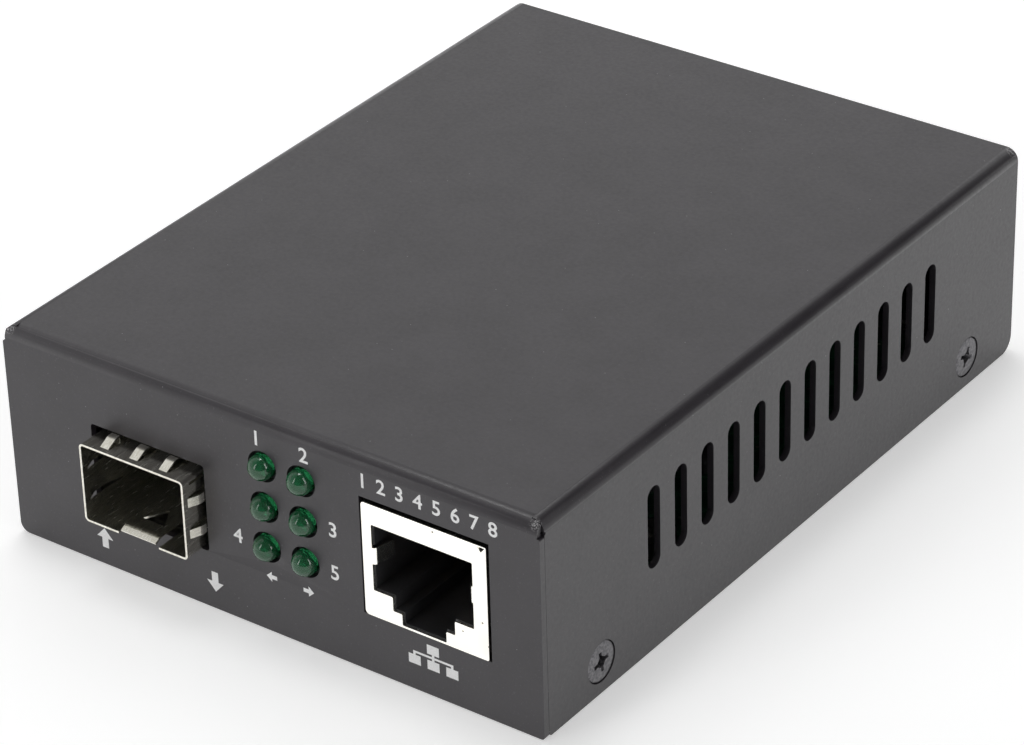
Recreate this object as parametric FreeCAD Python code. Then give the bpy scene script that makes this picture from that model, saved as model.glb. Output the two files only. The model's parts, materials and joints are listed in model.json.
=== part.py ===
import FreeCAD, Part
import math
import os

# Fibre media converter: a folded steel case that holds one circuit board with an SFP cage, a shielded
# RJ45 jack, six indicator lamps and a DC power inlet.
# Millimetres. X runs across the width, Y from the front panel (-Y) to the rear panel (+Y), Z is up.
# The origin is the centre of the case's underside.

V = FreeCAD.Vector

# ---------------------------------------------------------------- case
case_width = 71.0
case_depth = 94.0
case_height = 26.4
sheet = 0.8                     # steel sheet of the cover and of the tray
cover_bend = 1.5                # outer radius of the cover's bends
tray_bend = 1.4                 # outer radius of the tray's bends
halves_gap = 0.15               # play between the cover and the tray inside it
seam_gap = 0.04                 # slit between the front flange and the side flanges behind it
bend_slit = 0.04                # slit between the end of the front bend and each side bend
cover_lift = 0.15               # cover edges above the tray's underside
front_tip_inset = 0.35          # front bend's tips end this far inside each side
flange_notch = 0.35             # full width of the front flange starts this far under its bend
flange_top_radius = 0.2         # upper corners of the front flange
front_left_radius = 1.2         # lower left corner of the front flange
front_right_radius = 0.4        # lower right corner of the front flange
relief_radius = 0.2             # round relief at the front end of each side bend
side_front_radius = 0.5         # lower front corners of the side flanges
side_rear_radius = 2.0          # lower rear corners of the side flanges

tray_flange_height = 8.0
tray_flange_inset = 1.6         # tray side flanges end this far short of its front and rear
tray_relief = 0.15              # rear wall's full width starts this far above the tray's bend
tray_lip_height = 4.6           # front lip of the tray
tray_top_lip = 5.0              # lip bent forward at the top of the rear wall

# ---------------------------------------------------------------- vent slots in both sides
vent_count = 12
vent_pitch = 5.0
vent_width = 2.3
vent_length = 10.0
vent_bottom = 10.3
vent_shift = 0.5                # row centre behind the middle of the case

# ---------------------------------------------------------------- screws
cover_screw_inset = 10.25       # from the front and rear of the case
cover_screw_height = 4.0
cover_screw_length = 4.0
cover_screw_sink = 0.05         # head face below the cover's surface
screw_thread = 2.5
screw_head = 4.7                # countersunk head
screw_land = 0.15               # straight rim of the countersunk head
screw_head_gap = 0.12
screw_thread_gap = 0.03
screw_collar = 0.4              # wall of the extruded collar round each tray hole
screw_collar_length = 1.2
recess_reach = 1.3              # half length of the cross recess at its mouth
recess_slot = 0.7               # width of its arms
recess_tip = 0.5                # half length of the arms at the recess's floor
recess_depth = 1.2
pan_head = 5.0
pan_head_height = 1.9
board_screw_length = 4.5

# ---------------------------------------------------------------- circuit board and its standoffs
board_thickness = 1.6
board_side_gap = 0.5            # to the tray's side flanges
board_front_gap = 1.0           # to the front panel
board_rear_gap = 1.2            # to the rear wall
board_corner = 1.0
standoff_height = 4.9
standoff_bore_depth = 3.8
standoff_hex = 4.8              # across the flats
standoff_inset_x = 4.9          # from each side of the case
standoff_inset_front = 27.0
standoff_inset_rear = 15.0
board_hole = 2.9
clinch_gap = 0.02               # round each standoff's foot in the tray
pin_gap = 0.12                  # round each lead in its board hole
lead_end = 1.0                  # leads end this far under the board

# ---------------------------------------------------------------- spread of the ports over the front
left_margin_share = 0.404       # of the spare width, left of the SFP cage
right_margin_share = 0.2165     # of the spare width, right of the RJ45 jack

# ---------------------------------------------------------------- SFP cage
cage_width = 14.3
cage_height = 9.8
cage_length = 48.7
cage_sheet = 0.25
cage_corner = 0.55
cage_stand = 0.1                # above the board
cage_proud = 2.8                # in front of the front panel
cage_hole_side_gap = 0.65
cage_hole_top_gap = 0.8
cage_hole_bottom_gap = 0.1
cage_hole_corner = 0.4
finger_width = 1.1
finger_pitch = 4.05
finger_shift = -0.1             # middle top finger beside the cage's axis
finger_side_pitch = 3.9
finger_length = 5.6
finger_start = 0.7              # behind the cage's front edge
finger_crest_start = 1.4        # behind the finger's root
finger_crest_end = 3.45
finger_bend = 1.1
finger_slit = 0.2               # on each side of a finger
finger_clearance = 0.08         # to the edge of the panel hole
corner_slit = 0.35
corner_slit_start = 1.1
corner_slit_length = 38.0
tongue_width = 4.8
tongue_shift = 0.35             # tongue beside the cage's axis
tongue_length = 9.0
tongue_lip = 0.85               # sloped front end
tongue_tail = 1.2               # sloped rear end
tongue_lap = 0.3                # runs on into the floor
tongue_bend = 1.2
tongue_slit = 0.4
tongue_rise = 0.82              # over the cage's floor
tongue_drop = 0.45              # of its front edge below its raised part
catch_base = 3.0
catch_start = 2.6               # catch hole behind the front edge
catch_depth = 2.7
cage_pin_count = 5              # along each side wall
cage_pin_width = 0.7
cage_pin_first = 6.0            # first pin behind the board's front edge
cage_pin_last = 2.0             # last pin in front of the cage's rear wall
cage_rear_mouth = 12.0          # bottom opening over the host connector
cage_mouth_gap = 0.6            # beside the host connector

# ---------------------------------------------------------------- SFP host connector
socket_width = 11.2
socket_depth = 9.0
socket_height = 6.0
socket_from_cage_rear = 1.6
socket_stand = 0.15             # above the board
socket_nose = 2.4
socket_nose_wall = 0.9          # above and below the card slot
socket_nose_bevel = 1.0
socket_rounding = 0.3
card_slot_width = 9.4
card_slot_height = 1.4
card_slot_depth = 5.0
card_slot_level = 3.6           # slot centre above the board
contact_count = 10              # in each of two rows
contact_pitch = 0.8
contact_width = 0.34
contact_thickness = 0.2
contact_play = 0.03
contact_tip = 0.6               # contacts end this far inside the slot's mouth and floor
contact_tail_gap = 0.35         # upper row's tails behind the housing
contact_foot = 0.9
socket_peg = 1.5
socket_peg_inset_x = 1.2        # from the housing's sides
socket_peg_inset_y = 2.0        # from its rear
peg_root = 0.5                  # pegs reach this far up into their housing

# ---------------------------------------------------------------- RJ45 jack
jack_width = 15.85
jack_height = 13.8
jack_depth = 21.3
jack_sheet = 0.3
jack_upper_left_corner = 0.4
jack_upper_right_corner = 0.15
jack_lower_left_corner = 0.5
jack_lower_right_corner = 0.25
jack_proud = 0.1
jack_stand = 0.15
jack_hole_side_gap = 0.3
jack_hole_top_gap = 0.5
jack_hole_bottom_gap = 0.05
jack_mouth_width = 12.85
jack_mouth_shift = -0.3         # mouth beside the middle of the shield
jack_mouth_bottom = 3.3         # above the underside of the jack
jack_mouth_top = 11.35
jack_step_width = 7.95
jack_step_bottom = 1.6
jack_key_width = 5.65
jack_key_bottom = 0.25
jack_mouth_rounding = 0.15
fold_notch_reach = 0.95         # triangular notch at the upper right fold of the face
fold_notch_edge = 0.15           # from the shell's top and side
fold_notch_depth = 0.6
jack_cavity_inset = 0.12        # plastic inside the edge of the shield's mouth
jack_cavity_depth = 13.5
jack_fit = 0.05
ground_tab_bottom = 6.5
ground_tab_height = 2.0
ground_tab_length = 2.4
ground_tab_lean = 0.55
ground_tab_bend = 0.3
ground_tab_jut = 0.25           # into the mouth at its bend
tab_room = 0.5                  # recess of the plastic beside each tab
tab_room_depth = 1.6
tab_room_gap = 0.2
wire_count = 8
wire_pitch = 1.02
wire_size = 0.35
wire_play = 0.05
wire_turn_depth = 2.2           # wires turn down this far behind the jack's face
wire_turn_drop = 0.5            # and back again this far under the cavity's ceiling
wire_tip_drop = 3.1             # spring end under the cavity's ceiling
wire_tip_depth = 10.8
jack_peg = 3.0
jack_peg_spacing = 11.4
jack_peg_depth = 8.9
post_width = 1.4
post_depth = 12.4

# ---------------------------------------------------------------- indicator lamps
lamp_columns = 2
lamps_shift = 0.28              # lamps beside the middle of the space between the ports
lamp_rows = 3
lamp_column_pitch = 5.14
lamp_row_pitch = 5.0
lamp_first_row = 3.5            # lowest lamp axis above the board
lamp_diameter = 2.95
lamp_flange = 3.8
lamp_flange_thickness = 1.0
lamp_length = 6.0
lamp_proud = 1.6
lamp_hole = 3.7
lamp_play = 0.05
lead_size = 0.45
lead_pitch = 2.54
lead_first_drop = 1.2           # lowest lamp's leads turn down this far behind its flange
lead_row_step = 1.3
holder_width = 4.9
holder_panel_gap = 0.3
holder_top_wall = 0.7
holder_behind_flange = 0.4
holder_rounding = 0.3

# ---------------------------------------------------------------- DC inlet
inlet_from_right = 22.0
inlet_width = 9.0
inlet_height = 11.0
inlet_length = 14.0
inlet_face = 3.4                # thickness of the square face block
inlet_face_corner = 1.0
inlet_barrel = 8.0
inlet_barrel_rear = 1.5         # barrel ends this far short of the rear terminal's line
inlet_foot = 6.4
inlet_axis = 6.6                # bore centre above the board
inlet_bore = 6.3
inlet_bore_depth = 9.5
inlet_pin = 2.1
inlet_pin_recess = 1.15         # tip of the pin behind the rear panel
inlet_pin_bevel = 0.35
inlet_shank = 1.5               # riveted shank of the pin inside the moulding
inlet_play = 0.03
inlet_hole_gap = 0.2
inlet_tab_width = 2.2
inlet_tab_thickness = 0.5
inlet_tab_inset = 0.6           # centre terminal from the inlet's inner end
inlet_spring_inset = 6.8        # spring terminal from the inlet's inner end
inlet_spring_width = 2.2
inlet_spring_thickness = 0.3
inlet_spring_room = 0.4         # play round the spring in its slot
inlet_spring_bow = 0.35         # spring reaches this far into the bore
inlet_spring_rise = 2.2         # length of the rising part of the spring

# ---------------------------------------------------------------- board components
transformer_size = V(16.5, 12.5, 6.0)
transformer_shift = -4.5        # from the RJ45 jack's centre
transformer_gap = 2.8           # behind the RJ45 jack
transformer_legs = 8
transformer_pitch = 1.9
chip_size = V(10.0, 10.0, 0.9)
chip_bevel = 0.15
chip_dimple = 0.5               # radius
chip_dimple_depth = 0.1
chip_dimple_inset = 1.4
chip_shift = -9.0
chip_gap = 2.0
memory_size = V(5.0, 3.9, 1.5)
memory_shift = 4.0
memory_legs = 4
regulator_size = V(5.0, 3.9, 1.5)
regulator_step = 5.0            # beside the input capacitor
regulator_inset = 19.0          # from the rear panel
package_stand = 0.15            # moulded packages above the board
package_bevel = 0.25
leg_width = 0.42
leg_pitch = 1.27
leg_root = 0.3                  # legs start this far inside the package
leg_drop = 0.4                  # legs turn down this far outside it
leg_slope = 0.1
leg_reach = 1.0
leg_thickness = 0.2
leg_level = 0.4                 # share of the package's height
inductor_side = 7.0
inductor_height = 4.2
inductor_corner = 1.2
inductor_wall = 0.7             # round the ring groove
inductor_groove = 0.6
inductor_groove_depth = 0.5
inductor_inset = 8.0
can_bevel = 0.5
can_lead = 0.6
can_lead_pitch = 3.5
input_can = 8.0                 # diameter of the input capacitor
input_can_height = 11.5
input_can_stand = 0.1
input_can_inset = 9.0
output_can = 6.3
output_can_height = 7.7
output_can_base = 1.0           # height of its plastic base
output_can_rim = 0.15           # base wider than the can on each side
output_can_corner = 0.8
output_can_from_side = 11.25    # from the board's left edge
output_can_inset = 23.0         # from the rear panel
rear_row_step = 12.5            # inlet, input capacitor and inductor stand in a row
crystal_length = 11.4
crystal_width = 4.7
crystal_height = 3.6
crystal_stand = 0.1
crystal_front = 10.4            # behind the front panel
crystal_lead_pitch = 4.9
crystal_lead = 0.44
diode_size = V(4.6, 3.6, 2.3)
diode_step = -6.0               # beside the inlet
fuse_size = V(4.5, 3.2, 1.1)
fuse_step = 3.0
protection_inset = 20.0         # diode and fuse from the rear panel
chip_capacitor = V(0.8, 1.6, 0.8)
chip_capacitor_count = 6
chip_capacitor_gap = 1.2        # behind the converter chip
chip_resistor = V(0.8, 1.6, 0.5)
chip_resistor_step = 3.9        # beside the crystal's axis
chip_resistor_pitch = 3.4
chip_resistor_rows = 3
small_pitch = 2.0

# ---------------------------------------------------------------- places worked out from the sizes
left, right = -case_width / 2, case_width / 2
front, back = -case_depth / 2, case_depth / 2
panel_inside = front + sheet
side_front = panel_inside + seam_gap
wall_inside = back - sheet
tray_half = case_width / 2 - sheet - halves_gap
tray_front = panel_inside + halves_gap
board_bottom = sheet + standoff_height
board_top = board_bottom + board_thickness
board_half = tray_half - sheet - board_side_gap
board_front = panel_inside + board_front_gap
board_back = wall_inside - board_rear_gap

lamps_width = (lamp_columns - 1) * lamp_column_pitch + holder_width
spare_width = case_width - cage_width - lamps_width - jack_width

cage_x = left + left_margin_share * spare_width + cage_width / 2
tongue_x = cage_x + tongue_shift
cage_bottom = board_top + cage_stand
cage_top = cage_bottom + cage_height
cage_front = front - cage_proud
cage_rear = cage_front + cage_length

jack_x = right - right_margin_share * spare_width - jack_width / 2
jack_bottom = board_top + jack_stand
jack_top = jack_bottom + jack_height
jack_front = front - jack_proud
jack_rear = jack_front + jack_depth
mouth_x = jack_x + jack_mouth_shift

ports_between_left = cage_x + cage_width / 2 + cage_hole_side_gap
ports_between_right = jack_x - jack_width / 2 - jack_hole_side_gap
lamps_x = (ports_between_left + ports_between_right) / 2 + lamps_shift
lamp_flange_back = front - lamp_proud + lamp_length

inlet_x = right - inlet_from_right
inlet_z = board_top + inlet_axis


# ---------------------------------------------------------------- drawing helpers
def across(y):
    """Puts a flat drawing upright across the case: drawing axes are X and Z."""
    return lambda p: V(p.x, y, p.y)


def along(x):
    """Puts a flat drawing upright along the case: drawing axes are Y and Z."""
    return lambda p: V(x, p.x, p.y)


def level(z):
    """Lays a flat drawing level: drawing axes are X and Y."""
    return lambda p: V(p.x, p.y, z)


def corner_wire(corners, place):
    """Closed wire through (u, v, radius) corners, each rounded by its own radius."""
    points = [V(u, v, 0) for u, v, radius in corners]
    starts, middles, ends = [], [], []
    for index, here in enumerate(points):
        to_last = (points[index - 1] - here).normalize()
        to_next = (points[(index + 1) % len(points)] - here).normalize()
        radius = corners[index][2]
        if radius < 1e-6:
            starts.append(here)
            middles.append(None)
            ends.append(here)
            continue
        half_angle = to_last.getAngle(to_next) / 2
        cut = radius / math.tan(half_angle)
        bisector = (to_last + to_next).normalize()
        starts.append(here + to_last * cut)
        middles.append(here + bisector * (radius / math.sin(half_angle) - radius))
        ends.append(here + to_next * cut)
    edges = []
    for index in range(len(points)):
        following = (index + 1) % len(points)
        if middles[index] is not None:
            arc = Part.Arc(place(starts[index]), place(middles[index]), place(ends[index]))
            edges.append(arc.toShape())
        if ends[index].distanceToPoint(starts[following]) > 1e-6:
            edges.append(Part.makeLine(place(ends[index]), place(starts[following])))
    return Part.Wire(edges)


def solid_across(corners, y0, y1):
    return Part.Face(corner_wire(corners, across(y0))).extrude(V(0, y1 - y0, 0))


def solid_along(corners, x0, x1):
    return Part.Face(corner_wire(corners, along(x0))).extrude(V(x1 - x0, 0, 0))


def solid_level(corners, z0, z1):
    return Part.Face(corner_wire(corners, level(z0))).extrude(V(0, 0, z1 - z0))


def rectangle(u0, u1, v0, v1, radius=0.0):
    return [(u0, v0, radius), (u1, v0, radius), (u1, v1, radius), (u0, v1, radius)]


def block(x0, x1, y0, y1, z0, z1):
    return Part.makeBox(x1 - x0, y1 - y0, z1 - z0, V(x0, y0, z0))


def centred_block(x, y, z0, size):
    return block(x - size.x / 2, x + size.x / 2, y - size.y / 2, y + size.y / 2, z0, z0 + size.z)


def strip(path, thickness):
    """Outline of a bent strip round a centre line of (u, v, bend radius) points."""
    points = [V(u, v, 0) for u, v, radius in path]
    left_side, right_side = [], []
    for index, here in enumerate(points):
        ahead = points[min(index + 1, len(points) - 1)]
        behind = points[max(index - 1, 0)]
        leaving = (ahead - here) if index + 1 < len(points) else (here - behind)
        arriving = (here - behind) if index > 0 else (ahead - here)
        leaving.normalize()
        arriving.normalize()
        normal = V(-arriving.y, arriving.x, 0)
        miter = (normal + V(-leaving.y, leaving.x, 0)).normalize()
        reach = miter * (thickness / 2 / miter.dot(normal))
        radius = path[index][2]
        inner_change = 0.0
        if radius > 0:
            inner_change = math.copysign(thickness / 2, arriving.cross(leaving).z)
        left_side.append((here.x + reach.x, here.y + reach.y, radius - inner_change))
        right_side.append((here.x - reach.x, here.y - reach.y, radius + inner_change))
    return left_side + right_side[::-1]


def turned(profile):
    """Solid of revolution about Z from (radius, height) points."""
    points = [V(radius, 0, height) for radius, height in profile]
    face = Part.Face(Part.makePolygon(points + points[:1]))
    return face.revolve(V(0, 0, 0), V(0, 0, 1), 360)


def upright_rod(x, y, radius, z0, z1):
    return Part.makeCylinder(radius, z1 - z0, V(x, y, z0), V(0, 0, 1))


def aimed(shape, position, direction):
    """Copy of a shape whose own origin and +Z go to a position and a direction."""
    turned_copy = shape.copy()
    turned_copy.Placement = FreeCAD.Placement(position, FreeCAD.Rotation(V(0, 0, 1), direction))
    return turned_copy


def joined(shapes):
    return shapes[0].fuse(shapes[1:]).removeSplitter() if len(shapes) > 1 else shapes[0]


def centred_row(count, pitch, middle=0.0):
    return [middle + (index - (count - 1) / 2) * pitch for index in range(count)]


# ---------------------------------------------------------------- screws
def cross_outline(reach, z):
    """Closed cross of two arms, each as long as twice the reach."""
    slot = recess_slot / 2
    corner = [(reach, slot), (slot, slot), (slot, reach)]
    points = []
    for turn in range(4):
        cosine, sine = round(math.cos(turn * math.pi / 2)), round(math.sin(turn * math.pi / 2))
        points += [V(x * cosine - y * sine, x * sine + y * cosine, z) for x, y in corner]
    return Part.makePolygon(points + points[:1])


def cross_recess():
    """Cross recess that narrows with depth, mouth at z 0."""
    mouth, floor = cross_outline(recess_reach, 0), cross_outline(recess_tip, -recess_depth)
    return Part.makeLoft([mouth, floor], True, True)


def countersunk_profile(head_gap, thread_gap, length):
    head = screw_head / 2 + head_gap
    thread = screw_thread / 2 + thread_gap
    head_end = -screw_land - (head - thread)
    return [(0, 0), (head, 0), (head, -screw_land), (thread, head_end), (thread, -length), (0, -length)]


def countersunk_screw():
    return turned(countersunk_profile(0, 0, cover_screw_length)).cut(cross_recess())


def pan_screw():
    head, thread = pan_head / 2, screw_thread / 2
    profile = [(0, pan_head_height), (head, pan_head_height), (head, 0),
               (thread, 0), (thread, -board_screw_length), (0, -board_screw_length)]
    recess = aimed(cross_recess(), V(0, 0, pan_head_height), V(0, 0, 1))
    return turned(profile).cut(recess)


def cover_screw_seats():
    """Head centre and outward direction of each cover screw."""
    reach = case_depth / 2 - cover_screw_inset
    return [(V(side * (case_width / 2 - cover_screw_sink), end * reach, cover_screw_height), V(side, 0, 0))
            for side in (-1, 1) for end in (-1, 1)]


def cover_screw_cutters():
    """Countersink, hole and entry above the head for each cover screw."""
    bore = turned(countersunk_profile(screw_head_gap, screw_thread_gap, cover_screw_length + sheet))
    entry = Part.makeCylinder(screw_head / 2 + screw_head_gap, sheet)
    cutter = bore.fuse(entry)
    return [aimed(cutter, place, direction) for place, direction in cover_screw_seats()]


def cover_screws():
    return Part.makeCompound([aimed(countersunk_screw(), place, direction)
                              for place, direction in cover_screw_seats()])


# ---------------------------------------------------------------- case
def vent_slots(x0, x1):
    slots = []
    for middle in centred_row(vent_count, vent_pitch, vent_shift):
        outline = rectangle(middle - vent_width / 2, middle + vent_width / 2,
                            vent_bottom, vent_bottom + vent_length, vent_width / 2)
        slots.append(solid_along(outline, x0, x1))
    return slots


def lamp_axes():
    """X and Z of each lamp, column by column from the left, top lamp first."""
    columns = centred_row(lamp_columns, lamp_column_pitch, lamps_x)
    heights = [board_top + lamp_first_row + row * lamp_row_pitch for row in reversed(range(lamp_rows))]
    return [(x, z) for x in columns for z in heights]


def front_openings():
    cage_opening = rectangle(cage_x - cage_width / 2 - cage_hole_side_gap,
                             cage_x + cage_width / 2 + cage_hole_side_gap,
                             cage_bottom - cage_hole_bottom_gap, cage_top + cage_hole_top_gap,
                             cage_hole_corner)
    jack_opening = rectangle(jack_x - jack_width / 2 - jack_hole_side_gap,
                             jack_x + jack_width / 2 + jack_hole_side_gap,
                             jack_bottom - jack_hole_bottom_gap, jack_top + jack_hole_top_gap)
    through = (front - sheet, front + 2 * sheet)
    openings = [solid_across(cage_opening, *through), solid_across(jack_opening, *through)]
    for x, z in lamp_axes():
        openings.append(Part.makeCylinder(lamp_hole / 2, 3 * sheet, V(x, front - sheet, z), V(0, 1, 0)))
    return openings


def side_flange(side):
    """One side of the cover below its bend, with rounded lower corners."""
    top = case_height - cover_bend
    outline = [(side_front, cover_lift, side_front_radius), (back, cover_lift, side_rear_radius),
               (back, top, 0), (side_front, top, 0)]
    inner, outer = side * (case_width / 2 - sheet), side * case_width / 2
    return solid_along(outline, min(inner, outer), max(inner, outer))


def side_bend_end(side):
    """Front end of one side bend, which runs on past the start of the front bend."""
    outer, top_line = side * (case_width / 2 - sheet / 2), case_height - sheet / 2
    path = [(side * (case_width / 2 - cover_bend), top_line, 0), (outer, top_line, cover_bend - sheet / 2),
            (outer, case_height - cover_bend, 0)]
    return solid_across(strip(path, sheet), side_front, front + cover_bend)


def bend_relief(side):
    """Round notch where the front end of one side bend meets its flange."""
    inner = side * (case_width / 2 - cover_bend)
    return Part.makeCylinder(relief_radius, 2 * cover_bend,
                             V(inner, side_front, case_height - cover_bend), V(side, 0, 0))


def top_cover():
    """Top with its front flange and two side flanges folded down from one sheet."""
    middle = case_width / 2 - sheet / 2
    top_line = case_height - sheet / 2
    bend = cover_bend - sheet / 2
    low = case_height - cover_bend
    hood = strip([(-middle, low, 0), (-middle, top_line, bend), (middle, top_line, bend), (middle, low, 0)],
                 sheet)
    hood = solid_across(hood, front + cover_bend, back)
    flange_top = low - flange_notch
    nose = strip([(front + sheet / 2, flange_top, 0), (front + sheet / 2, top_line, bend),
                  (front + 2 * cover_bend, top_line, 0)], sheet)
    nose_half = case_width / 2 - cover_bend - bend_slit
    tips_half = case_width / 2 - front_tip_inset
    tips_room = solid_across([(left, 0, 0), (right, 0, 0), (right, case_height, cover_bend),
                              (left, case_height, cover_bend)], front, panel_inside)
    tips = solid_along(nose, -tips_half, tips_half).common(tips_room)
    nose = solid_along(nose, -nose_half, nose_half)
    flange = [(left, cover_lift, front_left_radius), (right, cover_lift, front_right_radius),
              (right, flange_top, flange_top_radius), (left, flange_top, flange_top_radius)]
    flange = solid_across(flange, front, front + sheet)
    cover = [hood, nose, tips, flange]
    for side in (-1, 1):
        cover += [side_bend_end(side), side_flange(side)]
    return joined(cover).cut(vent_slots(left - sheet, right + sheet) + front_openings()
                             + cover_screw_cutters() + [bend_relief(-1), bend_relief(1)])


def inlet_opening():
    return block(inlet_x - inlet_width / 2 - inlet_hole_gap, inlet_x + inlet_width / 2 + inlet_hole_gap,
                 wall_inside - sheet, back + sheet,
                 board_top - inlet_hole_gap, board_top + inlet_height + inlet_hole_gap)


def standoff_places():
    x = case_width / 2 - standoff_inset_x
    return [V(side * x, y, 0) for side in (-1, 1) for y in (front + standoff_inset_front,
                                                            back - standoff_inset_rear)]


def standoff_hexagon(gap, z0, z1):
    """Hexagonal post about the Z axis with two flats along the case, larger all round by a gap."""
    corner = (standoff_hex / 2 + gap) / math.cos(math.pi / 6)
    angles = [math.pi / 6 + turn * math.pi / 3 for turn in range(6)]
    return solid_level([(corner * math.cos(angle), corner * math.sin(angle), 0) for angle in angles], z0, z1)


def bottom_tray():
    """Floor, side flanges, front lip and rear wall folded from one sheet."""
    edge = tray_half - sheet / 2
    bend = tray_bend - sheet / 2
    trough = strip([(-edge, tray_flange_height, 0), (-edge, sheet / 2, bend),
                    (edge, sheet / 2, bend), (edge, tray_flange_height, 0)], sheet)
    trough = solid_across(trough, tray_front + tray_flange_inset, back - tray_flange_inset)
    ceiling = case_height - sheet - halves_gap - sheet / 2
    lip_line, wall_line = tray_front + sheet / 2, back - sheet / 2
    long_fold = strip([(lip_line, tray_lip_height, 0), (lip_line, sheet / 2, bend),
                       (wall_line, sheet / 2, bend), (wall_line, ceiling, bend),
                       (wall_line - tray_top_lip, ceiling, 0)], sheet)
    fold_half = tray_half - tray_bend
    long_fold = solid_along(long_fold, -fold_half, fold_half)
    wall = block(-tray_half, tray_half, wall_inside, back, tray_bend + tray_relief,
                 case_height - sheet - halves_gap - tray_bend)
    collars = [aimed(Part.makeCylinder(screw_thread / 2 + screw_thread_gap + screw_collar,
                                       screw_collar_length + sheet / 2),
                     V(direction.x * (tray_half - sheet / 2), place.y, place.z), direction * -1)
               for place, direction in cover_screw_seats()]
    tray = joined([trough, long_fold, wall] + collars)
    foot_hole = standoff_hexagon(clinch_gap, -sheet, 2 * sheet)
    seats = [aimed(foot_hole, place, V(0, 0, 1)) for place in standoff_places()]
    return tray.cut(seats + cover_screw_cutters() + [inlet_opening()])


# ---------------------------------------------------------------- board fixing
def board_standoffs():
    bore_radius = screw_thread / 2 + screw_thread_gap
    bore = upright_rod(0, 0, bore_radius, board_bottom - standoff_bore_depth, board_bottom)
    standoff = standoff_hexagon(0, 0, board_bottom).cut(bore)
    return Part.makeCompound([aimed(standoff, place, V(0, 0, 1)) for place in standoff_places()])


def board_screws():
    return Part.makeCompound([aimed(pan_screw(), place + V(0, 0, board_top), V(0, 0, 1))
                              for place in standoff_places()])


# ---------------------------------------------------------------- SFP cage
def cage_pin_places():
    """Centre of each press-fit pin under the cage's side walls."""
    wall = cage_width / 2 - cage_sheet / 2
    first, last = board_front + cage_pin_first, cage_rear - cage_pin_last
    step = (last - first) / (cage_pin_count - 1)
    return [V(cage_x + side * wall, first + index * step, 0)
            for side in (-1, 1) for index in range(cage_pin_count)]


def finger_path(rise):
    """Centre line of a bowed contact finger: distance behind its root, height over the wall."""
    return [(0, 0, 0), (finger_crest_start, rise, finger_bend), (finger_crest_end, rise, finger_bend),
            (finger_length, 0, 0)]


def cage_fingers():
    """Windows and bowed fingers: three on the top wall, two on each side wall."""
    windows, fingers = [], []
    start = cage_front + finger_start
    end = start + finger_length
    half = finger_width / 2
    reach = half + finger_slit
    middle = cage_sheet / 2
    for x in centred_row(3, finger_pitch, cage_x + finger_shift):
        windows.append(block(x - reach, x + reach, start + middle, end - middle,
                             cage_top - cage_sheet, cage_top))
        path = [(start + u, cage_top - middle + v, r)
                for u, v, r in finger_path(cage_hole_top_gap - finger_clearance)]
        fingers.append(solid_along(strip(path, cage_sheet), x - half, x + half))
    for side in (-1, 1):
        wall = cage_x + side * (cage_width / 2 - middle)
        for z in centred_row(2, finger_side_pitch, (cage_bottom + cage_top) / 2):
            windows.append(block(wall - middle, wall + middle, start + middle, end - middle,
                                 z - reach, z + reach))
            path = [(wall + side * v, start + u, r)
                    for u, v, r in finger_path(cage_hole_side_gap - finger_clearance)]
            fingers.append(solid_level(strip(path, cage_sheet), z - half, z + half))
    return windows, fingers


def cage_tongue():
    """Latch tongue cut free from the floor, with a rolled lip and a triangular catch hole."""
    floor = cage_bottom + cage_sheet / 2
    path = [(cage_front, floor + tongue_rise - tongue_drop, 0),
            (cage_front + tongue_lip, floor + tongue_rise, tongue_bend),
            (cage_front + tongue_length - tongue_tail, floor + tongue_rise, tongue_bend),
            (cage_front + tongue_length + tongue_lap, floor, 0)]
    tongue = solid_along(strip(path, cage_sheet), tongue_x - tongue_width / 2, tongue_x + tongue_width / 2)
    base = cage_front + catch_start
    triangle = [(tongue_x - catch_base / 2, base, 0), (tongue_x + catch_base / 2, base, 0),
                (tongue_x, base + catch_depth, 0)]
    return tongue.cut(solid_level(triangle, floor, floor + tongue_rise + cage_sheet))


def sfp_cage():
    """Folded tube with bowed fingers, corner slits, latch tongue, rear wall and press-fit pins."""
    x0, x1 = cage_x - cage_width / 2, cage_x + cage_width / 2
    outer = solid_across(rectangle(x0, x1, cage_bottom, cage_top, cage_corner), cage_front, cage_rear)
    inner = rectangle(x0 + cage_sheet, x1 - cage_sheet, cage_bottom + cage_sheet, cage_top - cage_sheet,
                      cage_corner - cage_sheet)
    hollow = solid_across(inner, cage_front, cage_rear - cage_sheet)
    windows, fingers = cage_fingers()
    cuts = [hollow] + windows
    slit_start = cage_front + corner_slit_start
    for side in (-1, 1):
        edge = cage_x + side * cage_width / 2
        cuts.append(block(edge - cage_sheet, edge + cage_sheet, slit_start, slit_start + corner_slit_length,
                          cage_top - cage_corner - corner_slit, cage_top - cage_corner))
    half_mouth = tongue_width / 2 + tongue_slit
    cuts.append(block(tongue_x - half_mouth, tongue_x + half_mouth, cage_front, cage_front + tongue_length,
                      cage_bottom, cage_bottom + cage_sheet))
    half_socket = socket_width / 2 + cage_mouth_gap
    cuts.append(block(cage_x - half_socket, cage_x + half_socket, cage_rear - cage_rear_mouth,
                      cage_rear - cage_sheet, cage_bottom, cage_bottom + cage_sheet))
    pins = [block(place.x - cage_sheet / 2, place.x + cage_sheet / 2,
                  place.y - cage_pin_width / 2, place.y + cage_pin_width / 2,
                  board_bottom - lead_end, cage_bottom + cage_corner) for place in cage_pin_places()]
    return joined([outer.cut(cuts), cage_tongue()] + fingers + pins)


# ---------------------------------------------------------------- SFP host connector
socket_rear = cage_rear - cage_sheet - socket_from_cage_rear
socket_front = socket_rear - socket_depth
socket_bottom = board_top + socket_stand
slot_z = board_top + card_slot_level
slot_ceiling = slot_z + card_slot_height / 2
slot_floor = slot_z - card_slot_height / 2
lower_drop = socket_front + card_slot_depth - contact_tip


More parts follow.
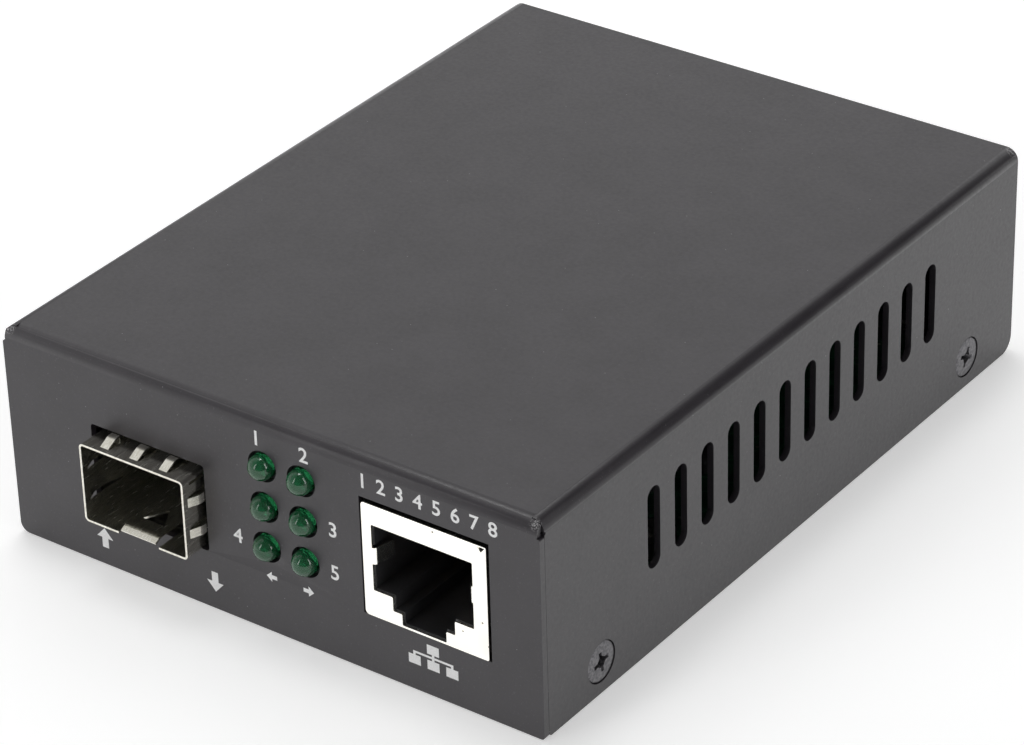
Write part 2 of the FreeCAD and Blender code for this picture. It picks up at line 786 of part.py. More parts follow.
def upper_contact_path():
    """From the ceiling of the card slot straight back, then down behind the housing to the board."""
    ceiling = slot_ceiling - contact_thickness / 2
    behind = socket_rear + contact_tail_gap
    foot = board_top + contact_thickness / 2
    return [(socket_front + contact_tip, ceiling, 0), (behind, ceiling, 0), (behind, foot, 0),
            (behind + contact_foot, foot, 0)]


def lower_contact_path():
    """From the floor of the card slot back, then down through the housing to the board."""
    floor = slot_floor + contact_thickness / 2
    foot = board_top + contact_thickness / 2
    return [(socket_front + contact_tip, floor, 0), (lower_drop, floor, 0), (lower_drop, foot, 0)]


def socket_columns():
    return centred_row(contact_count, contact_pitch, cage_x)


def sfp_contacts():
    contacts = []
    for x in socket_columns():
        for path in (upper_contact_path(), lower_contact_path()):
            contacts.append(solid_along(strip(path, contact_thickness),
                                        x - contact_width / 2, x + contact_width / 2))
    return Part.makeCompound(contacts)


def socket_pegs(gap=0.0):
    reach = socket_width / 2 - socket_peg_inset_x
    return [upright_rod(cage_x + side * reach, socket_rear - socket_peg_inset_y, socket_peg / 2 + gap,
                        board_bottom, socket_bottom + peg_root) for side in (-1, 1)]


def sfp_connector():
    """Host connector housing: stepped body, card slot and one channel for each contact."""
    top = board_top + socket_height
    nose_back = socket_front + socket_nose
    outline = [(socket_front, slot_floor - socket_nose_wall, socket_rounding),
               (nose_back, slot_floor - socket_nose_wall, 0), (nose_back, socket_bottom, 0),
               (socket_rear, socket_bottom, 0), (socket_rear, top, socket_rounding),
               (nose_back, top, socket_rounding),
               (nose_back - socket_nose_bevel, slot_ceiling + socket_nose_wall, 0),
               (socket_front, slot_ceiling + socket_nose_wall, socket_rounding)]
    body = solid_along(outline, cage_x - socket_width / 2, cage_x + socket_width / 2)
    slot_back = socket_front + card_slot_depth
    slot = block(cage_x - card_slot_width / 2, cage_x + card_slot_width / 2, socket_front, slot_back,
                 slot_floor, slot_ceiling)
    half = contact_width / 2 + contact_play
    reach = contact_thickness / 2 + contact_play
    channels = []
    for x in socket_columns():
        channels.append(block(x - half, x + half, slot_back, socket_rear,
                              slot_ceiling - contact_thickness - contact_play, slot_ceiling + contact_play))
        channels.append(block(x - half, x + half, lower_drop - reach, lower_drop + reach,
                              socket_bottom, slot_floor))
    return joined([body] + socket_pegs()).cut([slot] + channels)


# ---------------------------------------------------------------- RJ45 jack
def mouth_outline(inset, rounding):
    """Stepped outline of the plug opening, latch side down."""
    wide, step, key = jack_mouth_width / 2, jack_step_width / 2, jack_key_width / 2
    levels = [jack_bottom + jack_key_bottom, jack_bottom + jack_step_bottom,
              jack_bottom + jack_mouth_bottom, jack_bottom + jack_mouth_top]
    wide, step, key = wide - inset, step - inset, key - inset
    z0, z1, z2, z3 = levels[0] + inset, levels[1] + inset, levels[2] + inset, levels[3] - inset
    half = [(key, z0), (key, z1), (step, z1), (step, z2), (wide, z2), (wide, z3)]
    right_half = [(mouth_x + u, v, rounding) for u, v in half]
    left_half = [(mouth_x - u, v, rounding) for u, v in reversed(half)]
    return right_half + left_half


def post_places():
    return [V(jack_x + side * (jack_width / 2 - jack_sheet / 2), jack_front + post_depth, 0)
            for side in (-1, 1)]


def ground_tab(side):
    """Spring tab that folds back from the edge of the mouth and leans towards the plug."""
    edge = mouth_x + side * jack_mouth_width / 2
    front_line = jack_front + jack_sheet / 2
    root = edge + side * jack_sheet
    bend_x = edge - side * ground_tab_jut
    path = [(root, front_line, 0), (bend_x, front_line, ground_tab_bend),
            (bend_x - side * ground_tab_lean, front_line + ground_tab_length, 0)]
    z0 = jack_bottom + ground_tab_bottom
    return solid_level(strip(path, jack_sheet), z0, z0 + ground_tab_height)


def fold_notch():
    """Small triangular opening in the face where the shell's folds meet."""
    x, z = jack_x + jack_width / 2 - fold_notch_edge, jack_top - fold_notch_edge
    triangle = [(x - fold_notch_reach, z, 0), (x, z, 0), (x - fold_notch_reach / 2, z - fold_notch_depth, 0)]
    return solid_across(triangle, jack_front - jack_sheet, jack_front + jack_sheet)


def rj45_shield():
    """Drawn metal shell: open below, with the plug opening in its front and two board posts."""
    x0, x1 = jack_x - jack_width / 2, jack_x + jack_width / 2
    outline = [(x0, jack_bottom, jack_lower_left_corner), (x1, jack_bottom, jack_lower_right_corner),
               (x1, jack_top, jack_upper_right_corner), (x0, jack_top, jack_upper_left_corner)]
    outer = solid_across(outline, jack_front, jack_rear)
    hollow = block(x0 + jack_sheet, x1 - jack_sheet, jack_front + jack_sheet, jack_rear - jack_sheet,
                   jack_bottom - jack_sheet, jack_top - jack_sheet)
    mouth = solid_across(mouth_outline(0, jack_mouth_rounding),
                         jack_front - jack_sheet, jack_front + 2 * jack_sheet)
    posts = [block(place.x - jack_sheet / 2, place.x + jack_sheet / 2, place.y - post_width / 2,
                   place.y + post_width / 2, board_bottom - lead_end, jack_bottom + 2 * jack_sheet)
             for place in post_places()]
    return joined([outer.cut([hollow, mouth, fold_notch()]), ground_tab(-1), ground_tab(1)] + posts)


roof_z = jack_top - jack_sheet - jack_fit
housing_rear = jack_rear - jack_sheet - jack_fit
cavity_ceiling = jack_bottom + jack_mouth_top - jack_cavity_inset


def wire_path():
    """Board tail, up the back, forward over the roof, down and back into the cavity."""
    back_line = housing_rear - wire_size / 2
    roof_line = roof_z - wire_size / 2
    turn_y = jack_front + wire_turn_depth
    return [(back_line, board_bottom - lead_end, 0), (back_line, roof_line, 0), (turn_y, roof_line, 0),
            (turn_y, cavity_ceiling - wire_turn_drop, 0),
            (jack_front + wire_tip_depth, cavity_ceiling - wire_tip_drop, 0)]


def wire_columns():
    return centred_row(wire_count, wire_pitch, mouth_x)


def rj45_contacts():
    half = wire_size / 2
    return Part.makeCompound([solid_along(strip(wire_path(), wire_size), x - half, x + half)
                              for x in wire_columns()])


def wire_grooves():
    """Open grooves in the housing's back and roof, and the slots down into the cavity."""
    half = wire_size / 2 + wire_play
    path = wire_path()[:4]
    return [solid_along(strip(path, wire_size + 2 * wire_play), x - half, x + half) for x in wire_columns()]


def jack_pegs(gap=0.0):
    return [upright_rod(jack_x + side * jack_peg_spacing / 2, jack_front + jack_peg_depth,
                        jack_peg / 2 + gap, board_bottom, jack_bottom + peg_root) for side in (-1, 1)]


def rj45_housing():
    """Moulded insert with the plug cavity, contact grooves and two board pegs."""
    half = jack_width / 2 - jack_sheet - jack_fit
    body = block(jack_x - half, jack_x + half, jack_front + jack_sheet + jack_fit, housing_rear,
                 jack_bottom, roof_z)
    cavity = solid_across(mouth_outline(jack_cavity_inset, 0), jack_front, jack_front + jack_cavity_depth)
    tab_rooms = []
    for side in (-1, 1):
        edge = mouth_x + side * (jack_mouth_width / 2 - jack_cavity_inset)
        z0 = jack_bottom + ground_tab_bottom - tab_room_gap
        x0, x1 = sorted((edge, edge + side * tab_room))
        tab_rooms.append(block(x0, x1, jack_front, jack_front + tab_room_depth,
                               z0, z0 + ground_tab_height + 2 * tab_room_gap))
    return joined([body] + jack_pegs()).cut([cavity] + tab_rooms + wire_grooves())


# ---------------------------------------------------------------- indicator lamps
def lamp_body():
    """Domed lens with its flange; the tip is at z 0 and the flange's back at minus the length."""
    radius = lamp_diameter / 2
    stem = Part.makeCylinder(radius, lamp_length - radius, V(0, 0, -lamp_length))
    dome = Part.makeSphere(radius, V(0, 0, -radius), V(0, 0, 1), 0, 90, 360)
    flange = Part.makeCylinder(lamp_flange / 2, lamp_flange_thickness, V(0, 0, -lamp_length))
    return joined([stem, dome, flange])


def lamps():
    names = [column + "_" + row for column in ("left", "right") for row in ("top", "middle", "bottom")]
    return {"lamp_" + name: aimed(lamp_body(), V(x, front - lamp_proud, z), V(0, -1, 0))
            for name, (x, z) in zip(names, lamp_axes())}


def lead_places():
    """X, height of the lamp axis and Y of the drop for each lamp lead."""
    places = []
    for x, z in lamp_axes():
        row = round((z - board_top - lamp_first_row) / lamp_row_pitch)
        drop = lamp_flange_back + lead_first_drop + row * lead_row_step
        for side in (-1, 1):
            places.append((x + side * lead_pitch / 2, z, drop))
    return places


def lamp_leads():
    leads = []
    for x, z, drop in lead_places():
        path = [(lamp_flange_back, z, 0), (drop, z, 0), (drop, board_bottom - lead_end, 0)]
        leads.append(solid_along(strip(path, lead_size), x - lead_size / 2, x + lead_size / 2))
    return Part.makeCompound(leads)


def lamp_holder(column):
    """Upright block that holds one column of lamps, with a pocket behind for their flanges."""
    x = centred_row(lamp_columns, lamp_column_pitch, lamps_x)[column]
    y0, y1 = panel_inside + holder_panel_gap, lamp_flange_back + holder_behind_flange
    top_axis = board_top + lamp_first_row + (lamp_rows - 1) * lamp_row_pitch
    top = top_axis + lamp_flange / 2 + holder_top_wall
    outline = rectangle(x - holder_width / 2, x + holder_width / 2, y0, y1, holder_rounding)
    body = solid_level(outline, board_top, top)
    cuts = []
    for axis_x, z in lamp_axes():
        if abs(axis_x - x) < holder_width / 2:
            cuts.append(Part.makeCylinder(lamp_diameter / 2 + lamp_play, y1 - y0, V(x, y0, z), V(0, 1, 0)))
    pocket_half = lamp_flange / 2 + lamp_play
    seat = lamp_flange_back - lamp_flange_thickness - lamp_play
    cuts.append(block(x - pocket_half, x + pocket_half, seat, y1,
                      board_top + lamp_first_row - pocket_half, top_axis + pocket_half))
    return body.cut(cuts)


# ---------------------------------------------------------------- DC inlet
def inlet_tab_places():
    """Board slots of the inlet: centre terminal, then spring terminal."""
    inner_end = back - inlet_length
    return [V(inlet_x, inner_end + inlet_tab_inset, 0), V(inlet_x, inner_end + inlet_spring_inset, 0)]


def inlet_rod(radius, y0, y1):
    return Part.makeCylinder(radius, y1 - y0, V(inlet_x, y0, inlet_z), V(0, 1, 0))


def dc_inlet_body():
    """Square face block, round barrel and foot, with the plug bore and the spring's slot."""
    x0, x1 = inlet_x - inlet_width / 2, inlet_x + inlet_width / 2
    top = board_top + inlet_height
    face_outline = [(x0, board_top, 0), (x1, board_top, 0), (x1, top, inlet_face_corner),
                    (x0, top, inlet_face_corner)]
    face = solid_across(face_outline, back - inlet_face, back)
    barrel_end = back - inlet_length + inlet_barrel_rear
    barrel = inlet_rod(inlet_barrel / 2, barrel_end, back - inlet_face)
    foot = block(inlet_x - inlet_foot / 2, inlet_x + inlet_foot / 2, barrel_end, back - inlet_face,
                 board_top, inlet_z)
    bore = inlet_rod(inlet_bore / 2, back - inlet_bore_depth, back)
    shank_hole = inlet_rod(inlet_shank / 2 + inlet_play, barrel_end, back - inlet_bore_depth)
    half = inlet_spring_width / 2 + inlet_spring_room
    tail_y = inlet_tab_places()[1].y
    spring_slot = block(inlet_x - half, inlet_x + half, tail_y - inlet_spring_room,
                        back - inlet_face - inlet_spring_room, board_top, inlet_z)
    return joined([face, barrel, foot]).cut([bore, shank_hole, spring_slot])


def dc_inlet_pin():
    """Centre pin with a bevelled tip and a thinner shank, riveted to the terminal behind the moulding."""
    tip, floor = back - inlet_pin_recess, back - inlet_bore_depth
    radius = inlet_pin / 2
    place = inlet_tab_places()[0]
    profile = [(0, place.y), (inlet_shank / 2, place.y), (inlet_shank / 2, floor), (radius, floor),
               (radius, tip - inlet_pin_bevel), (radius - inlet_pin_bevel, tip), (0, tip)]
    pin = turned([(r, y - place.y) for r, y in profile])
    terminal = block(inlet_x - inlet_tab_width / 2, inlet_x + inlet_tab_width / 2,
                     place.y - inlet_tab_thickness / 2, place.y + inlet_tab_thickness / 2,
                     board_bottom - lead_end, inlet_z + radius)
    return joined([aimed(pin, V(inlet_x, place.y, inlet_z), V(0, 1, 0)), terminal])


def dc_inlet_spring():
    """Leaf that presses on the plug's sleeve: a board tail, a bend and a bowed arm."""
    tail_y = inlet_tab_places()[1].y
    low = inlet_z - inlet_bore / 2
    path = [(tail_y, board_bottom - lead_end, 0), (tail_y, low - 2 * inlet_spring_bow, 0),
            (tail_y + inlet_spring_rise, low + inlet_spring_bow, 0),
            (back - inlet_face - 2 * inlet_spring_room, low - inlet_spring_bow, 0)]
    half = inlet_spring_width / 2
    return solid_along(strip(path, inlet_spring_thickness), inlet_x - half, inlet_x + half)


# ---------------------------------------------------------------- board components
def can(place, radius, height, foot):
    """Upright capacitor can with a bevelled rim, its foot this far above the board."""
    profile = [(0, 0), (radius, 0), (radius, height - can_bevel), (radius - can_bevel, height), (0, height)]
    return aimed(turned(profile), place + V(0, 0, board_top + foot), V(0, 0, 1))


def board_lead(place, size, top):
    """Square lead from the underside of the board up to a height."""
    half = size / 2
    return block(place.x - half, place.x + half, place.y - half, place.y + half, board_bottom - lead_end, top)


def input_can_place():
    return V(inlet_x - rear_row_step, back - input_can_inset, 0)


def can_lead_places():
    return [input_can_place() + V(side * can_lead_pitch / 2, 0, 0) for side in (-1, 1)]


def input_capacitor():
    body = can(input_can_place(), input_can / 2, input_can_height, input_can_stand)
    top = board_top + input_can_stand + can_lead
    return joined([body] + [board_lead(place, can_lead, top) for place in can_lead_places()])


def output_capacitor():
    """Surface-mount can on its square base with two bevelled corners."""
    place = V(-board_half + output_can_from_side, back - output_can_inset, 0)
    half = output_can / 2 + output_can_rim
    base = solid_level([(place.x - half, place.y - half, 0), (place.x + half, place.y - half, 0),
                        (place.x + half, place.y + half, output_can_corner),
                        (place.x - half, place.y + half, output_can_corner)],
                       board_top, board_top + output_can_base)
    return joined([base, can(place, output_can / 2, output_can_height, output_can_base)])


def bevelled_block(size, z0, bevel):
    """Block centred on the Z axis with its top edges bevelled."""
    body = centred_block(0, 0, z0, size)
    top = z0 + size.z
    return body.makeChamfer(bevel, [edge for edge in body.Edges if abs(edge.BoundBox.ZMin - top) < 1e-6])


def legged_chip(x, y, size, legs, pitch):
    """Moulded package with gull-wing legs in a row along its front and rear."""
    body_bottom = board_top + package_stand
    level_line = body_bottom + size.z * leg_level
    foot = board_top + leg_thickness / 2
    parts = [bevelled_block(size, body_bottom, package_bevel)]
    for side in (-1, 1):
        edge = size.y / 2
        path = [(side * (edge - leg_root), level_line, 0), (side * (edge + leg_drop), level_line, 0),
                (side * (edge + leg_drop + leg_slope), foot, 0), (side * (edge + leg_reach), foot, 0)]
        for u in centred_row(legs, pitch):
            parts.append(solid_along(strip(path, leg_thickness), u - leg_width / 2, u + leg_width / 2))
    return aimed(joined(parts), V(x, y, 0), V(0, 0, 1))


def lan_transformer():
    y = jack_rear + transformer_gap + transformer_size.y / 2
    return legged_chip(jack_x + transformer_shift, y, transformer_size, transformer_legs, transformer_pitch)


def chip_y():
    return jack_rear + transformer_gap + transformer_size.y + chip_gap + chip_size.y / 2


def converter_chip():
    """Flat leadless package with a bevelled top and a dimple at its first pad."""
    top = board_top + chip_size.z
    inset_x, inset_y = chip_size.x / 2 - chip_dimple_inset, chip_size.y / 2 - chip_dimple_inset
    dimple = upright_rod(-inset_x, -inset_y, chip_dimple, top - chip_dimple_depth, top)
    body = bevelled_block(chip_size, board_top, chip_bevel).cut(dimple)
    return aimed(body, V(jack_x + chip_shift, chip_y(), 0), V(0, 0, 1))


def memory_chip():
    return legged_chip(jack_x + memory_shift, chip_y(), memory_size, memory_legs, leg_pitch)


def power_regulator():
    x = input_can_place().x - regulator_step
    return legged_chip(x, back - regulator_inset, regulator_size, memory_legs, leg_pitch)


def power_inductor():
    """Shielded choke: square ferrite shell with its round core showing on top."""
    x, y = inlet_x - 2 * rear_row_step, back - inductor_inset
    half = inductor_side / 2
    top = board_top + inductor_height
    shell = solid_level(rectangle(x - half, x + half, y - half, y + half, inductor_corner), board_top, top)
    outer = half - inductor_wall
    groove_floor = top - inductor_groove_depth
    core = upright_rod(x, y, outer - inductor_groove, groove_floor, top)
    return shell.cut(upright_rod(x, y, outer, groove_floor, top).cut(core))


def crystal_place():
    return V(lamps_x, front + crystal_front + crystal_length / 2, 0)


def crystal_lead_places():
    return [crystal_place() + V(0, side * crystal_lead_pitch / 2, 0) for side in (-1, 1)]


def crystal():
    """Oval metal can with two leads."""
    place = crystal_place()
    width, length = crystal_width / 2, crystal_length / 2
    outline = rectangle(place.x - width, place.x + width, place.y - length, place.y + length, width)
    foot = board_top + crystal_stand
    shell = solid_level(outline, foot, board_top + crystal_height)
    return joined([shell] + [board_lead(lead, crystal_lead, foot) for lead in crystal_lead_places()])


def surge_diode():
    return centred_block(inlet_x + diode_step, back - protection_inset, board_top, diode_size)


def input_fuse():
    return centred_block(inlet_x + fuse_step, back - protection_inset, board_top, fuse_size)


def chip_capacitors():
    """Decoupling capacitors in a row behind the converter chip."""
    y = chip_y() + chip_size.y / 2 + chip_capacitor_gap + chip_capacitor.y / 2
    return Part.makeCompound([centred_block(x, y, board_top, chip_capacitor)
                              for x in centred_row(chip_capacitor_count, small_pitch, jack_x + chip_shift)])


def chip_resistors():
    """Lamp resistors in a file on each side of the crystal."""
    return Part.makeCompound([centred_block(crystal_place().x + side * chip_resistor_step,
                                            crystal_place().y + step, board_top, chip_resistor)
                              for side in (-1, 1)
                              for step in centred_row(chip_resistor_rows, chip_resistor_pitch)])


# ---------------------------------------------------------------- circuit board
def lead_holes():
    """Place and half width of the hole for every lead, pin and post that passes into the board."""
    wire_line = wire_path()[0][0]
    holes = [(place.x, place.y, cage_pin_width / 2) for place in cage_pin_places()]
    holes += [(place.x, place.y, post_width / 2) for place in post_places()]
    holes += [(x, drop, lead_size / 2) for x, z, drop in lead_places()]
    holes += [(x, wire_line, wire_size / 2) for x in wire_columns()]
    holes += [(place.x, place.y, can_lead / 2) for place in can_lead_places()]
    holes += [(place.x, place.y, crystal_lead / 2) for place in crystal_lead_places()]
    holes += [(place.x, place.y, inlet_tab_width / 2) for place in inlet_tab_places()]
    return holes


def circuit_board():
    outline = rectangle(-board_half, board_half, board_front, board_back, board_corner)
    board = solid_level(outline, board_bottom, board_top)
    cuts = [upright_rod(place.x, place.y, board_hole / 2, board_bottom, board_top)
            for place in standoff_places()]
    for x, y, half in lead_holes():
        reach = half + pin_gap
        cuts.append(block(x - reach, x + reach, y - reach, y + reach, board_bottom, board_top))
    return board.cut(cuts + socket_pegs(pin_gap) + jack_pegs(pin_gap))


# ---------------------------------------------------------------- all pieces
pieces = {
    "top_cover": top_cover(),
    "bottom_tray": bottom_tray(),
    "cover_screws": cover_screws(),
    "board_standoffs": board_standoffs(),
    "board_screws": board_screws(),
    "circuit_board": circuit_board(),
    "sfp_cage": sfp_cage(),
    "sfp_connector": sfp_connector(),
    "sfp_contacts": sfp_contacts(),
    "rj45_shield": rj45_shield(),
    "rj45_housing": rj45_housing(),
    "rj45_contacts": rj45_contacts(),
    "lamp_holder_left": lamp_holder(0),
    "lamp_holder_right": lamp_holder(1),
    "lamp_leads": lamp_leads(),
    "dc_inlet_body": dc_inlet_body(),
    "dc_inlet_pin": dc_inlet_pin(),
    "dc_inlet_spring": dc_inlet_spring(),
    "lan_transformer": lan_transformer(),
    "converter_chip": converter_chip(),
    "memory_chip": memory_chip(),
    "power_regulator": power_regulator(),
    "power_inductor": power_inductor(),
    "input_capacitor": input_capacitor(),
    "output_capacitor": output_capacitor(),
    "crystal": crystal(),
    "surge_diode": surge_diode(),
    "input_fuse": input_fuse(),
    "chip_capacitors": chip_capacitors(),
    "chip_resistors": chip_resistors(),
}
pieces.update(lamps())

os.makedirs("parts", exist_ok=True)
for name, shape in pieces.items():
    print(name, "solids", len(shape.Solids), "valid", shape.isValid(), "volume", round(shape.Volume, 2))
    shape.exportStep("parts/" + name + ".step")
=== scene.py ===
import json
import math

import bmesh
import bpy
from mathutils import Matrix, Vector


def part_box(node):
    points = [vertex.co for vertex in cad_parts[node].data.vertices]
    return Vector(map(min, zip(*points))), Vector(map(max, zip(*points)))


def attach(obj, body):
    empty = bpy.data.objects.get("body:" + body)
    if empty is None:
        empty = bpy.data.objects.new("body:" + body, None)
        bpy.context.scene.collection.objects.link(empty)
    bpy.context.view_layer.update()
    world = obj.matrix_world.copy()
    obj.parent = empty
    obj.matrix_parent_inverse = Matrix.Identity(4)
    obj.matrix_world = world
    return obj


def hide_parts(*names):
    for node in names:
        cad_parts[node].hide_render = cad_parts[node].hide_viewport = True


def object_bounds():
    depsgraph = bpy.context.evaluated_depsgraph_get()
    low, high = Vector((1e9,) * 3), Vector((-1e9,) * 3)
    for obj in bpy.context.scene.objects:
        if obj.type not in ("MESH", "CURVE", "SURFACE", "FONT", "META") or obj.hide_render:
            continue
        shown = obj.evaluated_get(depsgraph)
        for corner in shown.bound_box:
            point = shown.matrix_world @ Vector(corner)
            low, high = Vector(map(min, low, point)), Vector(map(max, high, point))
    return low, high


# Fibre media converter: a folded steel case with an SFP cage, six lamps and an RJ45 jack in front.
# Metres. X runs to the right across the front, Y to the rear and Z up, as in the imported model.

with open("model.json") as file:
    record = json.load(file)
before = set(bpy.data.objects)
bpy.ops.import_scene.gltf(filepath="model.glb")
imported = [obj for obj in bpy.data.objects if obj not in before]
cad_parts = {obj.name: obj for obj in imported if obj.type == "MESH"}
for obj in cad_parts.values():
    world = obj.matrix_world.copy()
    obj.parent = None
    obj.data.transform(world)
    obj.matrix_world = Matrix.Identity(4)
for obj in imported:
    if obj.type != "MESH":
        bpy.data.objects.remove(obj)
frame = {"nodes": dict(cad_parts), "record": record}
cad_low, cad_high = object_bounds()
MM = 0.001
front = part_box("top_cover")[0].y
lamp_names = ["lamp_%s_%s" % (column, row) for column in ("left", "right")
              for row in ("top", "middle", "bottom")]


# ---------------------------------------------------------------- material helpers
class Shader:
    """A material with short calls for adding and joining nodes."""

    def __init__(self, name):
        self.material = bpy.data.materials.new(name)
        self.material.use_nodes = True
        self.tree = self.material.node_tree
        self.surface = self.tree.nodes["Principled BSDF"]
        self.place = self.add("ShaderNodeTexCoord").outputs["Object"]

    def add(self, kind, inputs=None, **settings):
        node = self.tree.nodes.new(kind)
        for key, value in settings.items():
            setattr(node, key, value)
        for key, value in (inputs or {}).items():
            self.put(node.inputs[key], value)
        return node

    def put(self, socket, value):
        if isinstance(value, bpy.types.NodeSocket):
            self.tree.links.new(value, socket)
        else:
            socket.default_value = value

    def set(self, **values):
        """Values for the surface's own sockets, with spaces written as underscores."""
        for key, value in values.items():
            name = key.replace("_", " ")
            if name.endswith("Color") or name == "Specular Tint":
                value = value if isinstance(value, bpy.types.NodeSocket) else (*value, 1.0)
            self.put(self.surface.inputs[name], value)
        return self

    def noise(self, size, detail=2.0, roughness=0.5, place=None):
        """Noise whose lumps are about this many millimetres across."""
        inputs = {"Vector": place or self.place, "Scale": 1 / (size * MM), "Detail": detail,
                  "Roughness": roughness}
        node = self.add("ShaderNodeTexNoise", inputs)
        return node.outputs["Fac"]

    def cells(self, size, feature="F1"):
        """Distance to the nearest of many points this many millimetres apart, or to a cell's edge."""
        node = self.add("ShaderNodeTexVoronoi", {"Vector": self.place, "Scale": 1 / (size * MM)},
                        feature=feature)
        return node.outputs["Distance"]

    def ramp(self, value, low, high, low_out=0.0, high_out=1.0):
        """A value between two limits, carried over to two others and held there."""
        inputs = {"Value": value, "From Min": low, "From Max": high,
                  "To Min": low_out, "To Max": high_out}
        node = self.add("ShaderNodeMapRange", inputs)
        return node.outputs["Result"]

    def maths(self, operation, first, second=0.0):
        node = self.add("ShaderNodeMath", operation=operation)
        self.put(node.inputs[0], first)
        self.put(node.inputs[1], second)
        return node.outputs[0]

    def mix(self, share, first, second):
        """Colour between two colours."""
        node = self.add("ShaderNodeMix", data_type="RGBA")
        self.put(node.inputs["Factor"], share)
        for socket, value in (("A", first), ("B", second)):
            colours = [s for s in node.inputs if s.name == socket and s.type == "RGBA"]
            self.put(colours[0], value if isinstance(value, bpy.types.NodeSocket) else (*value, 1.0))
        return [s for s in node.outputs if s.type == "RGBA"][0]

    def axis(self, name):
        """One coordinate of the place, in metres."""
        node = self.add("ShaderNodeSeparateXYZ", {"Vector": self.place})
        return node.outputs[name]

    def stretched(self, x=1.0, y=1.0, z=1.0):
        """The place stretched along the axes, for brushed or drawn grain."""
        inputs = {"Vector": self.place, "Scale": (x, y, z)}
        return self.add("ShaderNodeMapping", inputs).outputs["Vector"]

    def bump(self, height, depth, strength=1.0, below=None):
        """Relief this many millimetres deep."""
        inputs = {"Height": height, "Distance": depth * MM, "Strength": strength}
        if below is not None:
            inputs["Normal"] = below
        node = self.add("ShaderNodeBump", inputs)
        self.put(self.surface.inputs["Normal"], node.outputs["Normal"])
        return node.outputs["Normal"]


def srgb(*levels):
    """Linear colour of a colour given in 0-255 levels."""
    return tuple((v / 255 / 12.92) if v <= 10 else ((v / 255 + 0.055) / 1.055) ** 2.4 for v in levels)


# ---------------------------------------------------------------- materials
def case_paint():
    """Satin charcoal powder coat: orange peel, mottling, a few pale specks, and pale upper corners that are
    partly worn paint and partly a painted highlight.
    """
    s = Shader("case_paint")
    mottle = s.noise(6.0, 3.0)
    colour = s.mix(s.ramp(mottle, 0.35, 0.65), srgb(41, 38, 42), srgb(47, 44, 48))
    grain = s.noise(0.22, 3.0, 0.6)
    colour = s.mix(s.ramp(grain, 0.62, 0.8), colour, srgb(78, 76, 80))
    specks = s.ramp(s.cells(1.9), 0.035, 0.02)
    colour = s.mix(s.maths("MULTIPLY", specks, 0.7), colour, srgb(150, 148, 150))
    # Painted highlight: the upper corners are lightened to pale grey in broken patches, partly as worn
    # paint and partly standing in for the light that their edges catch.
    mirrored = s.add("ShaderNodeVectorMath", {0: s.place}, operation="ABSOLUTE").outputs["Vector"]
    corner = (cad_high.x - 0.75 * MM, cad_high.y - 0.4 * MM, cad_high.z - 0.35 * MM)
    away = s.add("ShaderNodeVectorMath", {0: mirrored, 1: corner}, operation="DISTANCE").outputs["Value"]
    patch_breakup = s.ramp(s.noise(0.16, 3.0, 0.6), 0.5, 0.58)
    rubbed_and_painted_highlight = s.maths("MULTIPLY", s.ramp(away, 0.85 * MM, 0.3 * MM), patch_breakup)
    colour = s.mix(rubbed_and_painted_highlight, colour, srgb(166, 165, 166))
    s.set(Base_Color=colour, Roughness=s.ramp(s.noise(0.5), 0.3, 0.7, 0.34, 0.44))
    peel = s.bump(s.noise(0.55, 2.0), 0.012, 0.5)
    s.bump(grain, 0.006, 0.5, peel)
    return s.material


def bright_nickel():
    """Bright nickel of the jack's shell: nearly a mirror, with worn marks and small pits."""
    s = Shader("jack_nickel")
    clouds = s.noise(3.0, 4.0, 0.6)
    pits = s.ramp(s.cells(1.8), 0.09, 0.045)
    colour = s.mix(s.ramp(clouds, 0.3, 0.7), srgb(240, 238, 230), srgb(252, 251, 246))
    colour = s.mix(s.maths("MULTIPLY", pits, 0.8), colour, srgb(70, 62, 54))
    s.set(Base_Color=colour, Metallic=1.0, Roughness=s.ramp(clouds, 0.3, 0.7, 0.16, 0.3))
    s.bump(s.noise(0.3, 3.0), 0.002, 0.4)
    return s.material


def cage_steel():
    """Nickel-plated spring steel with a faint drawn grain."""
    s = Shader("cage_steel")
    grain = s.noise(0.9, 3.0, 0.5, s.stretched(3, 0.5, 3))
    colour = s.mix(s.ramp(grain, 0.35, 0.65), srgb(198, 195, 184), srgb(222, 220, 210))
    s.set(Base_Color=colour, Metallic=0.975, Roughness=s.ramp(grain, 0.3, 0.7, 0.2, 0.28))
    s.bump(grain, 0.0015, 0.3)
    return s.material


def screw_steel():
    """Dark zinc, blotchy and slightly rough."""
    s = Shader("screw_steel")
    wear = s.noise(0.35, 4.0, 0.6)
    colour = s.mix(s.ramp(wear, 0.4, 0.65), srgb(82, 81, 84), srgb(118, 117, 119))
    s.set(Base_Color=colour, Metallic=1.0, Roughness=s.ramp(wear, 0.3, 0.7, 0.34, 0.5))
    s.bump(wear, 0.006, 0.5)
    return s.material


def plated(name, dark, light, rough):
    """Plated metal, clouded between two colours."""
    s = Shader(name)
    clouds = s.noise(0.8, 4.0, 0.6)
    colour = s.mix(s.ramp(clouds, 0.3, 0.7), dark, light)
    s.set(Base_Color=colour, Metallic=1.0, Roughness=s.ramp(clouds, 0.3, 0.7, rough * 0.8, rough * 1.25))
    s.bump(clouds, 0.003, 0.4)
    return s.material


def moulded(name, dark, light, rough=0.5, grain_size=0.18):
    """Moulded plastic or epoxy with a fine spark-eroded grain."""
    s = Shader(name)
    grain = s.noise(grain_size, 3.0, 0.6)
    colour = s.mix(s.ramp(s.noise(2.5, 3.0), 0.3, 0.7), dark, light)
    s.set(Base_Color=colour, Roughness=s.ramp(grain, 0.3, 0.7, rough * 0.85, rough * 1.15))
    s.bump(grain, 0.008, 0.5)
    return s.material


